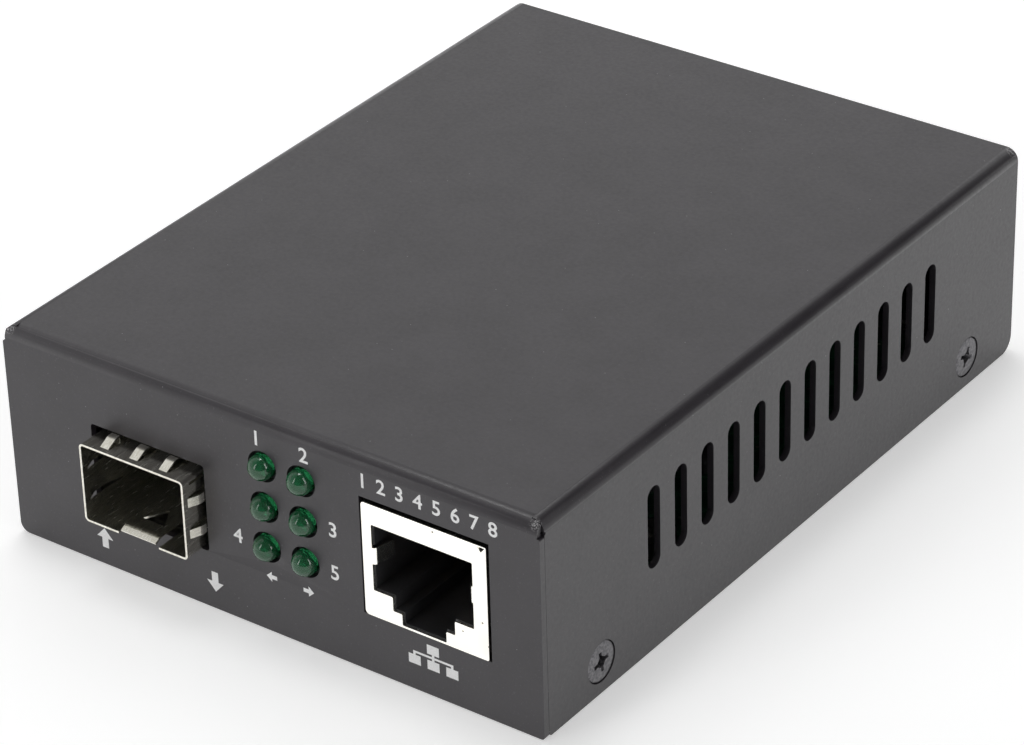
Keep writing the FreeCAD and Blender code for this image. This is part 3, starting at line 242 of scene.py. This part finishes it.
def solder_mask():
    """Green board: paler traces under the mask, bare plated dots and a plated area under the cage."""
    s = Shader("board_laminate")
    tracks = s.ramp(s.cells(2.6, "DISTANCE_TO_EDGE"), 0.06, 0.04)
    colour = s.mix(tracks, srgb(10, 46, 28), srgb(20, 66, 40))
    pads = s.ramp(s.cells(2.1), 0.12, 0.1)
    cage_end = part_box("sfp_cage")[1]
    under_cage = s.maths("MULTIPLY", s.maths("LESS_THAN", s.axis("X"), cage_end.x),
                         s.maths("LESS_THAN", s.axis("Y"), cage_end.y))
    pads = s.maths("MAXIMUM", pads, under_cage)
    plating = s.mix(s.ramp(s.noise(1.2, 4.0), 0.4, 0.6), srgb(84, 83, 78), srgb(132, 130, 122))
    colour = s.mix(pads, colour, plating)
    s.set(Base_Color=colour, Roughness=s.ramp(s.noise(0.6), 0.3, 0.7, 0.28, 0.4),
          Metallic=s.maths("MULTIPLY", pads, 0.9))
    s.bump(tracks, 0.03, 0.5)
    return s.material


def brushed_can():
    """Aluminium of the capacitor cans, with an upright grain."""
    s = Shader("can_aluminium")
    grain = s.noise(0.6, 4.0, 0.6, s.stretched(4, 4, 0.4))
    colour = s.mix(s.ramp(grain, 0.3, 0.7), srgb(196, 198, 202), srgb(220, 221, 224))
    s.set(Base_Color=colour, Metallic=1.0, Roughness=s.ramp(grain, 0.3, 0.7, 0.25, 0.4))
    s.bump(grain, 0.004, 0.4)
    return s.material


def lamp_epoxy():
    """Green epoxy of the lamp lenses, clear with a little haze."""
    s = Shader("lamp_green")
    haze = s.noise(1.4, 2.0)
    colour = s.mix(s.ramp(haze, 0.3, 0.7), srgb(40, 132, 82), srgb(50, 146, 94))
    s.set(Base_Color=colour, Roughness=s.ramp(haze, 0.3, 0.7, 0.04, 0.09), IOR=1.5)
    s.surface.inputs["Transmission Weight"].default_value = 0.7
    s.surface.inputs["Specular IOR Level"].default_value = 0.42
    s.bump(haze, 0.004, 0.25)
    return s.material


def silkscreen_ink():
    """White ink, slightly uneven."""
    s = Shader("marking_ink")
    grain = s.noise(0.12, 3.0, 0.6)
    colour = s.mix(s.ramp(grain, 0.3, 0.55), srgb(238, 238, 238), srgb(252, 252, 252))
    s.set(Base_Color=colour, Roughness=s.ramp(grain, 0.3, 0.7, 0.45, 0.6))
    s.bump(grain, 0.004, 0.4)
    return s.material


materials = {
    "case_paint": case_paint(),
    "screw_steel": screw_steel(),
    "standoff_steel": plated("standoff_steel", srgb(168, 168, 162), srgb(192, 192, 188), 0.32),
    "board_laminate": solder_mask(),
    "cage_steel": cage_steel(),
    "jack_nickel": bright_nickel(),
    "black_plastic": moulded("black_plastic", srgb(40, 40, 42), srgb(48, 48, 50)),
    "contact_gold": plated("contact_gold", srgb(208, 164, 88), srgb(228, 186, 108), 0.22),
    "lamp_green": lamp_epoxy(),
    "tinned_lead": plated("tinned_lead", srgb(186, 186, 180), srgb(206, 206, 202), 0.34),
    "chip_epoxy": moulded("chip_epoxy", srgb(36, 36, 38), srgb(46, 46, 48), 0.55, 0.12),
    "can_aluminium": brushed_can(),
    "ferrite": moulded("ferrite", srgb(62, 62, 66), srgb(78, 78, 80), 0.6, 0.3),
    "ceramic_tan": moulded("ceramic_tan", srgb(160, 132, 98), srgb(178, 150, 114), 0.5, 0.2),
}
ink = silkscreen_ink()


def paint_nodes():
    """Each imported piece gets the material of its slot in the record."""
    for part in frame["record"]["subparts"]:
        mesh = frame["nodes"][part["node"]].data
        mesh.materials.clear()
        mesh.materials.append(materials[part["material_slot"]])


paint_nodes()


# ---------------------------------------------------------------- mesh helpers
def finished(name, shape, slot, replaced=(), smooth_under=40.0, finish=None):
    """Object made from a bmesh; it rides on the case and takes its finish from a slot of the record."""
    bmesh.ops.remove_doubles(shape, verts=shape.verts, dist=0.0005 * MM)
    bmesh.ops.recalc_face_normals(shape, faces=shape.faces)
    mesh = bpy.data.meshes.new(name)
    shape.to_mesh(mesh)
    shape.free()
    mesh.shade_smooth()
    mesh.set_sharp_from_angle(angle=math.radians(smooth_under))
    mesh.materials.append(finish or materials[slot])
    piece = bpy.data.objects.new(name, mesh)
    bpy.context.collection.objects.link(piece)
    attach(piece, "root")
    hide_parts(*replaced)
    return piece


def facing(place, outward):
    """Turns local Z outward and local Y upward, at a place in metres; local sizes are millimetres."""
    z = Vector(outward).normalized()
    x = Vector((0, 0, 1)).cross(z).normalized()
    turn = Matrix((x, z.cross(x), z)).transposed().to_4x4()
    return Matrix.Translation(place) @ turn @ Matrix.Scale(MM, 4)


def skin(shape, rings):
    """Joins rings of vertices, one after the other; a ring of one vertex closes an end."""
    for lower, upper in zip(rings, rings[1:]):
        for i in range(max(len(lower), len(upper))):
            j = i + 1
            corners = (lower[i % len(lower)], lower[j % len(lower)],
                       upper[j % len(upper)], upper[i % len(upper)])
            shape.faces.new(list(dict.fromkeys(corners)))


def closed_skin(shape, rings):
    """Skin over rings with a flat face at both ends."""
    skin(shape, rings)
    shape.faces.new(rings[0])
    shape.faces.new(rings[-1])


def turned_point(radius, angle, height):
    return Vector((radius * math.cos(angle), radius * math.sin(angle), height))


def turned_rings(shape, profile, place, steps):
    """Rings of (radius, height) points about local Z; a radius of 0 is one vertex."""
    rings = []
    for radius, height in profile:
        angles = [2 * math.pi * i / steps for i in range(steps)] if radius else [0.0]
        rings.append([shape.verts.new(place @ turned_point(radius, a, height)) for a in angles])
    return rings


def slab(shape, outline, low, high, place):
    """Closed outline of (x, y) points between two heights."""
    closed_skin(shape, [[shape.verts.new(place @ Vector((x, y, z))) for x, y in outline]
                        for z in (low, high)])


def rod(shape, points, radius, place, steps=8):
    """Thin round wire through points."""
    points = [Vector(p) for p in points]
    rings = []
    for i, point in enumerate(points):
        along = (points[min(i + 1, len(points) - 1)] - points[max(i - 1, 0)]).normalized()
        side = along.orthogonal().normalized()
        other = along.cross(side)
        angles = [2 * math.pi * j / steps for j in range(steps)]
        rings.append([shape.verts.new(place @ (point + radius * (math.cos(a) * side + math.sin(a) * other)))
                      for a in angles])
    closed_skin(shape, rings)


# ---------------------------------------------------------------- lamps
# Millimetres; local Z points out of the front and is 0 at the dome's tip.
dome_radius = 1.475
flange_thickness = 1.0
flange_edge = 0.08
cathode_flat = 0.3
lead_pitch = 2.54
lead_half_width = 0.225
bond_wire_radius = 0.02


def lamp_lens(node):
    """Domed epoxy body with a moulded flange, one side of which is flat to mark the cathode.

    Gives its place and length, for the metal inside it.
    """
    low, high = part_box(node)
    middle = (low + high) / 2
    flange, length = (high.x - low.x) / 2 / MM, (high.y - low.y) / MM
    place = facing((middle.x, low.y, middle.z), (0, -1, 0))
    seat = flange_thickness - length
    dome = [(dome_radius * math.sin(a), dome_radius * (math.cos(a) - 1))
            for a in (math.pi / 2 * i / 20 for i in range(21))]
    profile = dome + [(dome_radius, seat + 0.1), (dome_radius + 0.1, seat), (flange - flange_edge, seat),
                      (flange, seat - flange_edge), (flange, flange_edge - length),
                      (flange - flange_edge, -length), (0, -length)]
    shape = bmesh.new()
    skin(shape, turned_rings(shape, profile, place, 64))
    flat = flange - cathode_flat
    inward = place.inverted()
    for vert in shape.verts:
        local = inward @ vert.co
        if local.x > flat and local.z < seat + 0.05:
            vert.co = place @ Vector((flat, local.y, local.z))
    finished(node.replace("lamp_", "lens_"), shape, "lamp_green", [node])
    return place, length


def lamp_frame(name, place, length):
    """Metal inside a lamp: the die's cup on its post, the second post, the die and its bond wire."""
    shape = bmesh.new()
    rim, floor, base, half = -2.4, -2.8, -3.1, 0.22
    cup = [(0, base), (0.34, base), (0.57, rim - 0.05), (0.57, rim), (0.5, rim), (0.26, floor), (0, floor)]
    skin(shape, turned_rings(shape, cup, place, 32))
    lead, width = lead_pitch / 2, lead_half_width
    cup_post = [(lead - width, -length), (lead + width, -length), (lead + width, -3.9), (0.42, -3.3),
                (0.3, base), (-0.3, base), (-0.3, -3.4), (lead - width, -4.3)]
    wire_post = [(-lead - width, -length), (-lead + width, -length), (-lead + width, -4.0),
                 (-0.62, -3.3), (-0.66, -2.4), (-0.95, -2.4), (-1.1, -3.3), (-lead - width + 0.15, -3.6)]
    upright = place @ Matrix.Rotation(math.pi / 2, 4, "X")
    for outline in (cup_post, wire_post):
        slab(shape, outline, -half, half, upright)
    die = 0.13
    slab(shape, [(-die, -die), (die, -die), (die, die), (-die, die)], floor, floor + 0.12, place)
    bond_wire = [(0, 0, floor + 0.1), (-0.12, 0, -2.35), (-0.4, 0, -2.15), (-0.7, 0, -2.2),
                 (-0.78, 0, -2.45)]
    rod(shape, bond_wire, bond_wire_radius, place)
    finished(name, shape, "tinned_lead", finish=lamp_silver)


lamp_silver = plated("lamp_silver", srgb(226, 226, 220), srgb(240, 240, 236), 0.2)
for lamp in lamp_names:
    lens_place, lens_length = lamp_lens(lamp)
    lamp_frame(lamp.replace("lamp_", "lamp_frame_"), lens_place, lens_length)


# ---------------------------------------------------------------- cover screws
# Millimetres; local Z points out of the case's side and is 0 at the head's face.
SCREW_STEPS = 64
thread_core, thread_crest, thread_pitch = 1.02, 1.25, 0.45
head_face_radius = 1.9
recess_depth = 1.25


def thread_rings(shape, place, start, end, root, crest, pitch, steps):
    """Rings of a helical thread along local Z, run out at both ends."""
    rows_a_turn = 6
    rows = round((start - end) / pitch * rows_a_turn)
    rings = []
    for row in range(rows + 1):
        height = start + (end - start) * row / rows
        taper = min(1.0, 3.0 * (1 - row / rows) + 0.1, 4.0 * row / rows + 0.1)
        ring = []
        for step in range(steps):
            phase = (height / pitch + step / steps) % 1.0
            ridge = max(0.0, 1.0 - abs(phase - 0.5) * 2.6) * taper
            radius, angle = root + (crest - root) * ridge, 2 * math.pi * step / steps
            ring.append(shape.verts.new(place @ turned_point(radius, angle, height)))
        rings.append(ring)
    return rings


def recess_cutters(depth):
    """Phillips recess: two crossed tapered wings with a bevelled mouth, and a core with corners on them."""
    mouth, tip, wide, narrow, over = 1.3, 0.42, 0.27, 0.17, 0.3
    core_mouth, core_tip, core_extra, wing_step = 0.92, 0.5, 0.06, 0.03
    bevel, bevel_inset = 0.08, 0.05
    levels = ((over, mouth, wide), (0, mouth, wide), (-bevel, mouth - bevel, wide - bevel_inset),
              (-depth, tip, narrow))
    corners = ((1, 1), (-1, 1), (-1, -1), (1, -1))
    prisms = [[[(sx * reach, sy * half, z) for sx, sy in corners] for z, reach, half in levels],
              [[(sx * half, sy * reach, min(over, z + wing_step)) for sx, sy in corners]
               for z, reach, half in levels],
              [[(r, 0, z), (0, r, z), (-r, 0, z), (0, -r, z)]
               for z, r in ((over, core_mouth), (0, core_mouth), (-depth - core_extra, core_tip))]]
    shapes = []
    for prism in prisms:
        shape = bmesh.new()
        closed_skin(shape, [[shape.verts.new(point) for point in ring] for ring in prism])
        shapes.append(shape)
    return shapes


def cut_away(piece, shape, place):
    """Subtracts a closed shape from a piece for good."""
    bmesh.ops.transform(shape, matrix=place, verts=shape.verts)
    bmesh.ops.recalc_face_normals(shape, faces=shape.faces)
    mesh = bpy.data.meshes.new("cutter")
    shape.to_mesh(mesh)
    shape.free()
    tool = bpy.data.objects.new("cutter", mesh)
    bpy.context.collection.objects.link(tool)
    cut = piece.modifiers.new("cut", "BOOLEAN")
    cut.operation, cut.solver, cut.object = "DIFFERENCE", "EXACT", tool
    bpy.context.view_layer.update()
    result = bpy.data.meshes.new_from_object(piece.evaluated_get(bpy.context.evaluated_depsgraph_get()))
    piece.modifiers.remove(cut)
    bpy.data.objects.remove(tool)
    piece.data = result


def cover_screw(name, place, turn, half_head, length):
    """Countersunk screw with a bevelled head, a Phillips recess and a cut thread."""
    place = place @ Matrix.Rotation(math.radians(turn), 4, "Z")
    shape = bmesh.new()
    shoulder = -0.15 - (half_head - thread_crest)
    head = [(0, -0.01), (head_face_radius, -0.01), (half_head - 0.12, -0.03), (half_head, -0.1),
            (half_head, -0.17), (thread_crest, shoulder)]
    rings = turned_rings(shape, head, place, SCREW_STEPS)
    thread = thread_rings(shape, place, shoulder - 0.05, -length + 0.1, thread_core, thread_crest,
                          thread_pitch, SCREW_STEPS)
    tip = [shape.verts.new(place @ Vector((0, 0, -length)))]
    skin(shape, rings + thread + [tip])
    smooth_under = 30.0
    screw = finished(name, shape, "screw_steel", ["cover_screws"], smooth_under)
    for cutter in recess_cutters(recess_depth):
        cut_away(screw, cutter, place)
    screw.data.name = name
    screw.data.set_sharp_from_angle(angle=math.radians(smooth_under))


def cover_screws():
    """Four screws, each turned its own way and a little off the middle of its countersink."""
    length, off_centre = 4.0, 0.055 * MM
    low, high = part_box("cover_screws")
    half_head, middle = (high.z - low.z) / 2, (low.z + high.z) / 2
    turns = {("left", "front"): 20, ("left", "rear"): 64, ("right", "front"): 10, ("right", "rear"): -22}
    for side, sign in (("left", -1), ("right", 1)):
        for end, y in (("front", low.y + half_head), ("rear", high.y - half_head)):
            place = facing((high.x * sign, y + off_centre, middle - off_centre), (sign, 0, 0))
            cover_screw("cover_screw_%s_%s" % (side, end), place, turns[side, end], half_head / MM, length)


cover_screws()


# ---------------------------------------------------------------- marks on the front panel
# Millimetres.
INK_THICKNESS = 0.012
LAMP_DIGIT, PIN_DIGIT = 1.75, 1.7
JACK_MARK_SHIFT = 0.6


def on_panel(x, z):
    """Place on the front panel's face, with local Z out of it."""
    return facing((x * MM, front, z * MM), (0, -1, 0))


def digits(shape, text, x, z, height):
    """Plain digits of a height, centred on a point of the front panel."""
    digit_share, swell = 0.7, 0.02
    curve = bpy.data.curves.new("digits", "FONT")
    curve.body, curve.align_x, curve.align_y = text, "CENTER", "CENTER"
    curve.size, curve.extrude, curve.offset = height / digit_share, INK_THICKNESS / 2, swell * height
    curve.resolution_u = 4
    holder = bpy.data.objects.new("digits", curve)
    mesh = bpy.data.meshes.new_from_object(holder)
    mesh.transform(on_panel(x, z) @ Matrix.Translation((0, 0, INK_THICKNESS / 2)))
    shape.from_mesh(mesh)
    bpy.data.objects.remove(holder)
    bpy.data.curves.remove(curve)
    bpy.data.meshes.remove(mesh)


def ink_shape(shape, outline, x, z, grow=1.0):
    """Flat ink outline, enlarged and centred on a point of the front panel."""
    slab(shape, [(grow * u, grow * v) for u, v in outline], 0, INK_THICKNESS, on_panel(x, z))


def centre_of(node):
    """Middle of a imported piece, in millimetres."""
    low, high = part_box(node)
    return ((low + high) / 2) / MM


def panel_numbers():
    """Numbers beside five of the lamps, and the pin numbers over the jack."""
    shape = bmesh.new()
    above, beside = 3.2, 3.9
    places = {"left_top": ("1", -0.6, above), "right_top": ("2", 0.5, above),
              "right_middle": ("3", beside, 0.3), "left_bottom": ("4", -beside, 0),
              "right_bottom": ("5", beside, 0)}
    for lamp, (number, dx, dz) in places.items():
        centre = centre_of("lamp_" + lamp)
        digits(shape, number, centre.x + dx, centre.z + dz, LAMP_DIGIT)
    pins, pitch, over_jack = 8, 2.35, 2.4
    middle, top = centre_of("rj45_shield").x + JACK_MARK_SHIFT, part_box("rj45_shield")[1].z / MM
    for pin in range(pins):
        digits(shape, str(pin + 1), middle + (pin - (pins - 1) / 2) * pitch, top + over_jack, PIN_DIGIT)
    finished("panel_numbers", shape, "case_paint", finish=ink)


def panel_signs():
    """Arrows from the lamp columns to their ports, arrows at the slot, and a network sign by the jack."""
    shape = bmesh.new()
    arrow = [(0, 1.0), (0.9, 0), (0.35, 0), (0.35, -1.0), (-0.35, -1.0), (-0.35, 0), (-0.9, 0)]
    to_left, to_right = [(-v, u) for u, v in arrow], [(v, u) for u, v in arrow]
    small, large, slot_shift, slot_height, below_lamps = 0.7, 1.25, 0.6, 3.6, 3.6
    left, right = centre_of("lamp_left_bottom"), centre_of("lamp_right_bottom")
    ink_shape(shape, to_left, left.x + 0.4, left.z - below_lamps, small)
    ink_shape(shape, to_right, right.x + 0.2, left.z - below_lamps, small)
    slot_left, slot_right = (side.x / MM + slot_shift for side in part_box("sfp_cage"))
    ink_shape(shape, arrow, slot_left, slot_height, large)
    ink_shape(shape, [(u, -v) for u, v in arrow], slot_right, slot_height, large)
    half_sign = [(0.7, 1.4), (0.7, 0.35), (0.14, 0.35), (0.14, 0.12), (2.35, 0.12), (2.35, -0.35),
                 (2.9, -0.35), (2.9, -1.4), (1.5, -1.4), (1.5, -0.35), (2.07, -0.35), (2.07, -0.12),
                 (0.14, -0.12), (0.14, -0.35), (0.7, -0.35), (0.7, -1.4)]
    sign_height, sign_size = 4.9, 1.1
    ink_shape(shape, half_sign + [(-u, v) for u, v in reversed(half_sign)],
              centre_of("rj45_shield").x + JACK_MARK_SHIFT, sign_height, sign_size)
    finished("panel_signs", shape, "case_paint", finish=ink)


panel_numbers()
panel_signs()


# ---------------------------------------------------------------- worn edges of the sheet metal
def soften(node, width):
    """Rounds the sheared edges of a packed sheet-metal piece without changing its own mesh."""
    same_point, same_plane, sheared = 0.002 * MM, math.radians(0.5), math.radians(40)
    piece = frame["nodes"][node]
    weld = piece.modifiers.new("weld", "WELD")
    weld.merge_threshold = same_point
    flatten = piece.modifiers.new("flatten", "DECIMATE")
    flatten.decimate_type, flatten.angle_limit = "DISSOLVE", same_plane
    bevel = piece.modifiers.new("rounded_edges", "BEVEL")
    bevel.width, bevel.segments, bevel.limit_method = width * MM, 2, "ANGLE"
    bevel.angle_limit, bevel.miter_outer = sheared, "MITER_ARC"
    bevel.use_clamp_overlap = True
    bevel.harden_normals = True


soften("top_cover", 0.14)
soften("bottom_tray", 0.12)


# ---------------------------------------------------------------- studio
def studio_floor():
    """Pale floor just under the case, lifted towards white where the camera, gloss or glass shows it."""
    size, level = 3.0, cad_low.z - 0.02 * MM
    mesh = bpy.data.meshes.new("studio_floor")
    corners = [(-size, -size, level), (size, -size, level), (size, size, level), (-size, size, level)]
    mesh.from_pydata(corners, [], [(0, 1, 2, 3)])
    floor = bpy.data.objects.new("studio_floor", mesh)
    bpy.context.collection.objects.link(floor)
    s = Shader("studio_floor")
    colour = s.mix(s.ramp(s.noise(40.0), 0.3, 0.7), srgb(228, 228, 228), srgb(231, 231, 231))
    s.set(Base_Color=colour, Roughness=0.8)
    s.surface.inputs["Specular IOR Level"].default_value = 0.1
    path = s.add("ShaderNodeLightPath")
    seen = s.maths("MAXIMUM", path.outputs["Is Camera Ray"], path.outputs["Is Glossy Ray"])
    seen = s.maths("MAXIMUM", seen, path.outputs["Is Transmission Ray"])
    seen_glow, more_in_gloss = 0.42, 0.3
    glow = s.maths("ADD", s.maths("MULTIPLY", seen, seen_glow),
                   s.maths("MULTIPLY", path.outputs["Is Glossy Ray"], more_in_gloss))
    glow = s.add("ShaderNodeEmission", {"Strength": glow})
    both = s.add("ShaderNodeAddShader")
    output = s.tree.nodes["Material Output"]
    s.put(both.inputs[0], s.surface.outputs["BSDF"])
    s.put(both.inputs[1], glow.outputs["Emission"])
    s.put(output.inputs["Surface"], both.outputs["Shader"])
    mesh.materials.append(s.material)


class WorldShader(Shader):
    """The studio's surroundings: the same helpers on a world instead of a material."""

    def __init__(self, world):
        world.use_nodes = True
        self.tree = world.node_tree
        self.surface = self.tree.nodes["Background"]
        self.place = self.add("ShaderNodeTexCoord").outputs["Generated"]

    def near(self, azimuth, elevation, inner, outer):
        """1 within the inner angle of a direction, fading to 0 at the outer angle."""
        toward = self.add("ShaderNodeVectorMath", operation="DOT_PRODUCT")
        self.put(toward.inputs[0], self.place)
        toward.inputs[1].default_value = direction(azimuth, elevation)
        outside, inside = math.cos(math.radians(outer)), math.cos(math.radians(inner))
        return self.ramp(toward.outputs["Value"], outside, inside)

    def upright_strip(self, azimuth, half_width, lowest, highest):
        """1 on a narrow upright strip of the surroundings, between two elevations."""
        parts = []
        for toward, low, high in ((direction(azimuth + 90, 0), -half_width, half_width),
                                  (Vector((0, 0, 1)), lowest, highest)):
            along = self.add("ShaderNodeVectorMath", operation="DOT_PRODUCT")
            self.put(along.inputs[0], self.place)
            along.inputs[1].default_value = toward
            for angle, sign in ((low, 1), (high, -1)):
                edge, fade = sign * math.sin(math.radians(angle)), 0.04
                inward = self.maths("MULTIPLY", along.outputs["Value"], sign)
                parts.append(self.ramp(inward, edge, edge + fade))
        parts.append(self.near(azimuth, 0, 80, 88))
        strip = parts[0]
        for part in parts[1:]:
            strip = self.maths("MULTIPLY", strip, part)
        return strip


def direction(azimuth, elevation):
    """Unit vector from the object; azimuth 0 is the front and 90 the right."""
    a, e = math.radians(azimuth), math.radians(elevation)
    return Vector((math.sin(a) * math.cos(e), -math.cos(a) * math.cos(e), math.sin(e)))


def studio_world():
    """White surroundings with three dark flags and two bright upright strips, all dimmer for matt surfaces.

    The camera, and what is seen through the lamps, get plain white.
    """
    world = bpy.data.worlds.new("studio_world")
    bpy.context.scene.world = world
    w = WorldShader(world)
    flag = w.near(143, 30, 30, 48)
    shade = w.maths("MULTIPLY", w.near(-36, 43, 14, 32), 0.55)
    seat = w.maths("MULTIPLY", w.near(31, 41, 42, 54), 0.9)
    dark = w.maths("MAXIMUM", w.maths("MAXIMUM", flag, shade), seat)
    path = w.add("ShaderNodeLightPath")
    seen = w.maths("MAXIMUM", path.outputs["Is Camera Ray"], path.outputs["Is Transmission Ray"])
    flag_depth, matt_level, gloss_level = 0.95, 0.5, 1.0
    lit = w.maths("SUBTRACT", 1.0, w.maths("MULTIPLY", dark, flag_depth))
    for strip, strength in ((w.upright_strip(-21, 6, 6, 50), 4.0), (w.upright_strip(84, 6, 8, 55), 5.0)):
        lit = w.maths("ADD", lit, w.maths("MULTIPLY", strip, strength))
    lit = w.maths("MULTIPLY", lit, w.ramp(path.outputs["Is Glossy Ray"], 0.0, 1.0, matt_level, gloss_level))
    w.put(w.surface.inputs["Strength"], w.maths("MAXIMUM", seen, lit))
    w.surface.inputs["Color"].default_value = (1, 1, 1, 1)


def softbox(name, azimuth, elevation, distance, width, height, power, glints=False):
    """Area lamp that looks at the case's middle from this direction; with glints, gloss shows it too."""
    case_middle = Vector((0, 0, 0.013))
    lamp = bpy.data.lights.new(name, "AREA")
    lamp.shape = "RECTANGLE"
    lamp.size, lamp.size_y = width, height
    lamp.energy = power
    holder = bpy.data.objects.new(name, lamp)
    back = direction(azimuth, elevation)
    holder.location = case_middle + back * distance
    holder.rotation_euler = back.to_track_quat("Z", "Y").to_euler()
    holder.visible_glossy = glints
    bpy.context.collection.objects.link(holder)


def photo_camera():
    """Camera at the photograph's viewing angle."""
    azimuth, elevation, roll = 36.73, 31.01, -1.68
    shift_right, shift_down, distance = 2.11 * MM, 7.36 * MM, 483.4 * MM
    back, r = direction(azimuth, elevation), math.radians(roll)
    level_right = (-back).cross(Vector((0, 0, 1))).normalized()
    level_up = level_right.cross(-back)
    right = math.cos(r) * level_right + math.sin(r) * level_up
    up = -math.sin(r) * level_right + math.cos(r) * level_up
    data = bpy.data.cameras.new("photo_camera")
    data.sensor_width, data.lens = 36.0, 149.2734375
    camera = bpy.data.objects.new("photo_camera", data)
    place = back * distance - right * shift_right + up * shift_down
    turn = Matrix((right, up, back)).transposed().to_4x4()
    camera.matrix_world = Matrix.Translation(place) @ turn
    data.clip_start, data.clip_end = 0.01, 10.0
    bpy.context.collection.objects.link(camera)
    bpy.context.scene.camera = camera


studio_floor()
studio_world()
softbox("sky", -150, 55, 0.9, 1.0, 0.8, 2.6)
softbox("side", 60, 40, 1.0, 0.8, 0.6, 1.0)
softbox("front", -20, 14, 1.0, 0.8, 0.6, 2.2)
softbox("key", -120, 82, 0.9, 0.26, 0.2, 1.4, glints=True)
photo_camera()
bpy.context.scene.view_settings.view_transform = "Standard"
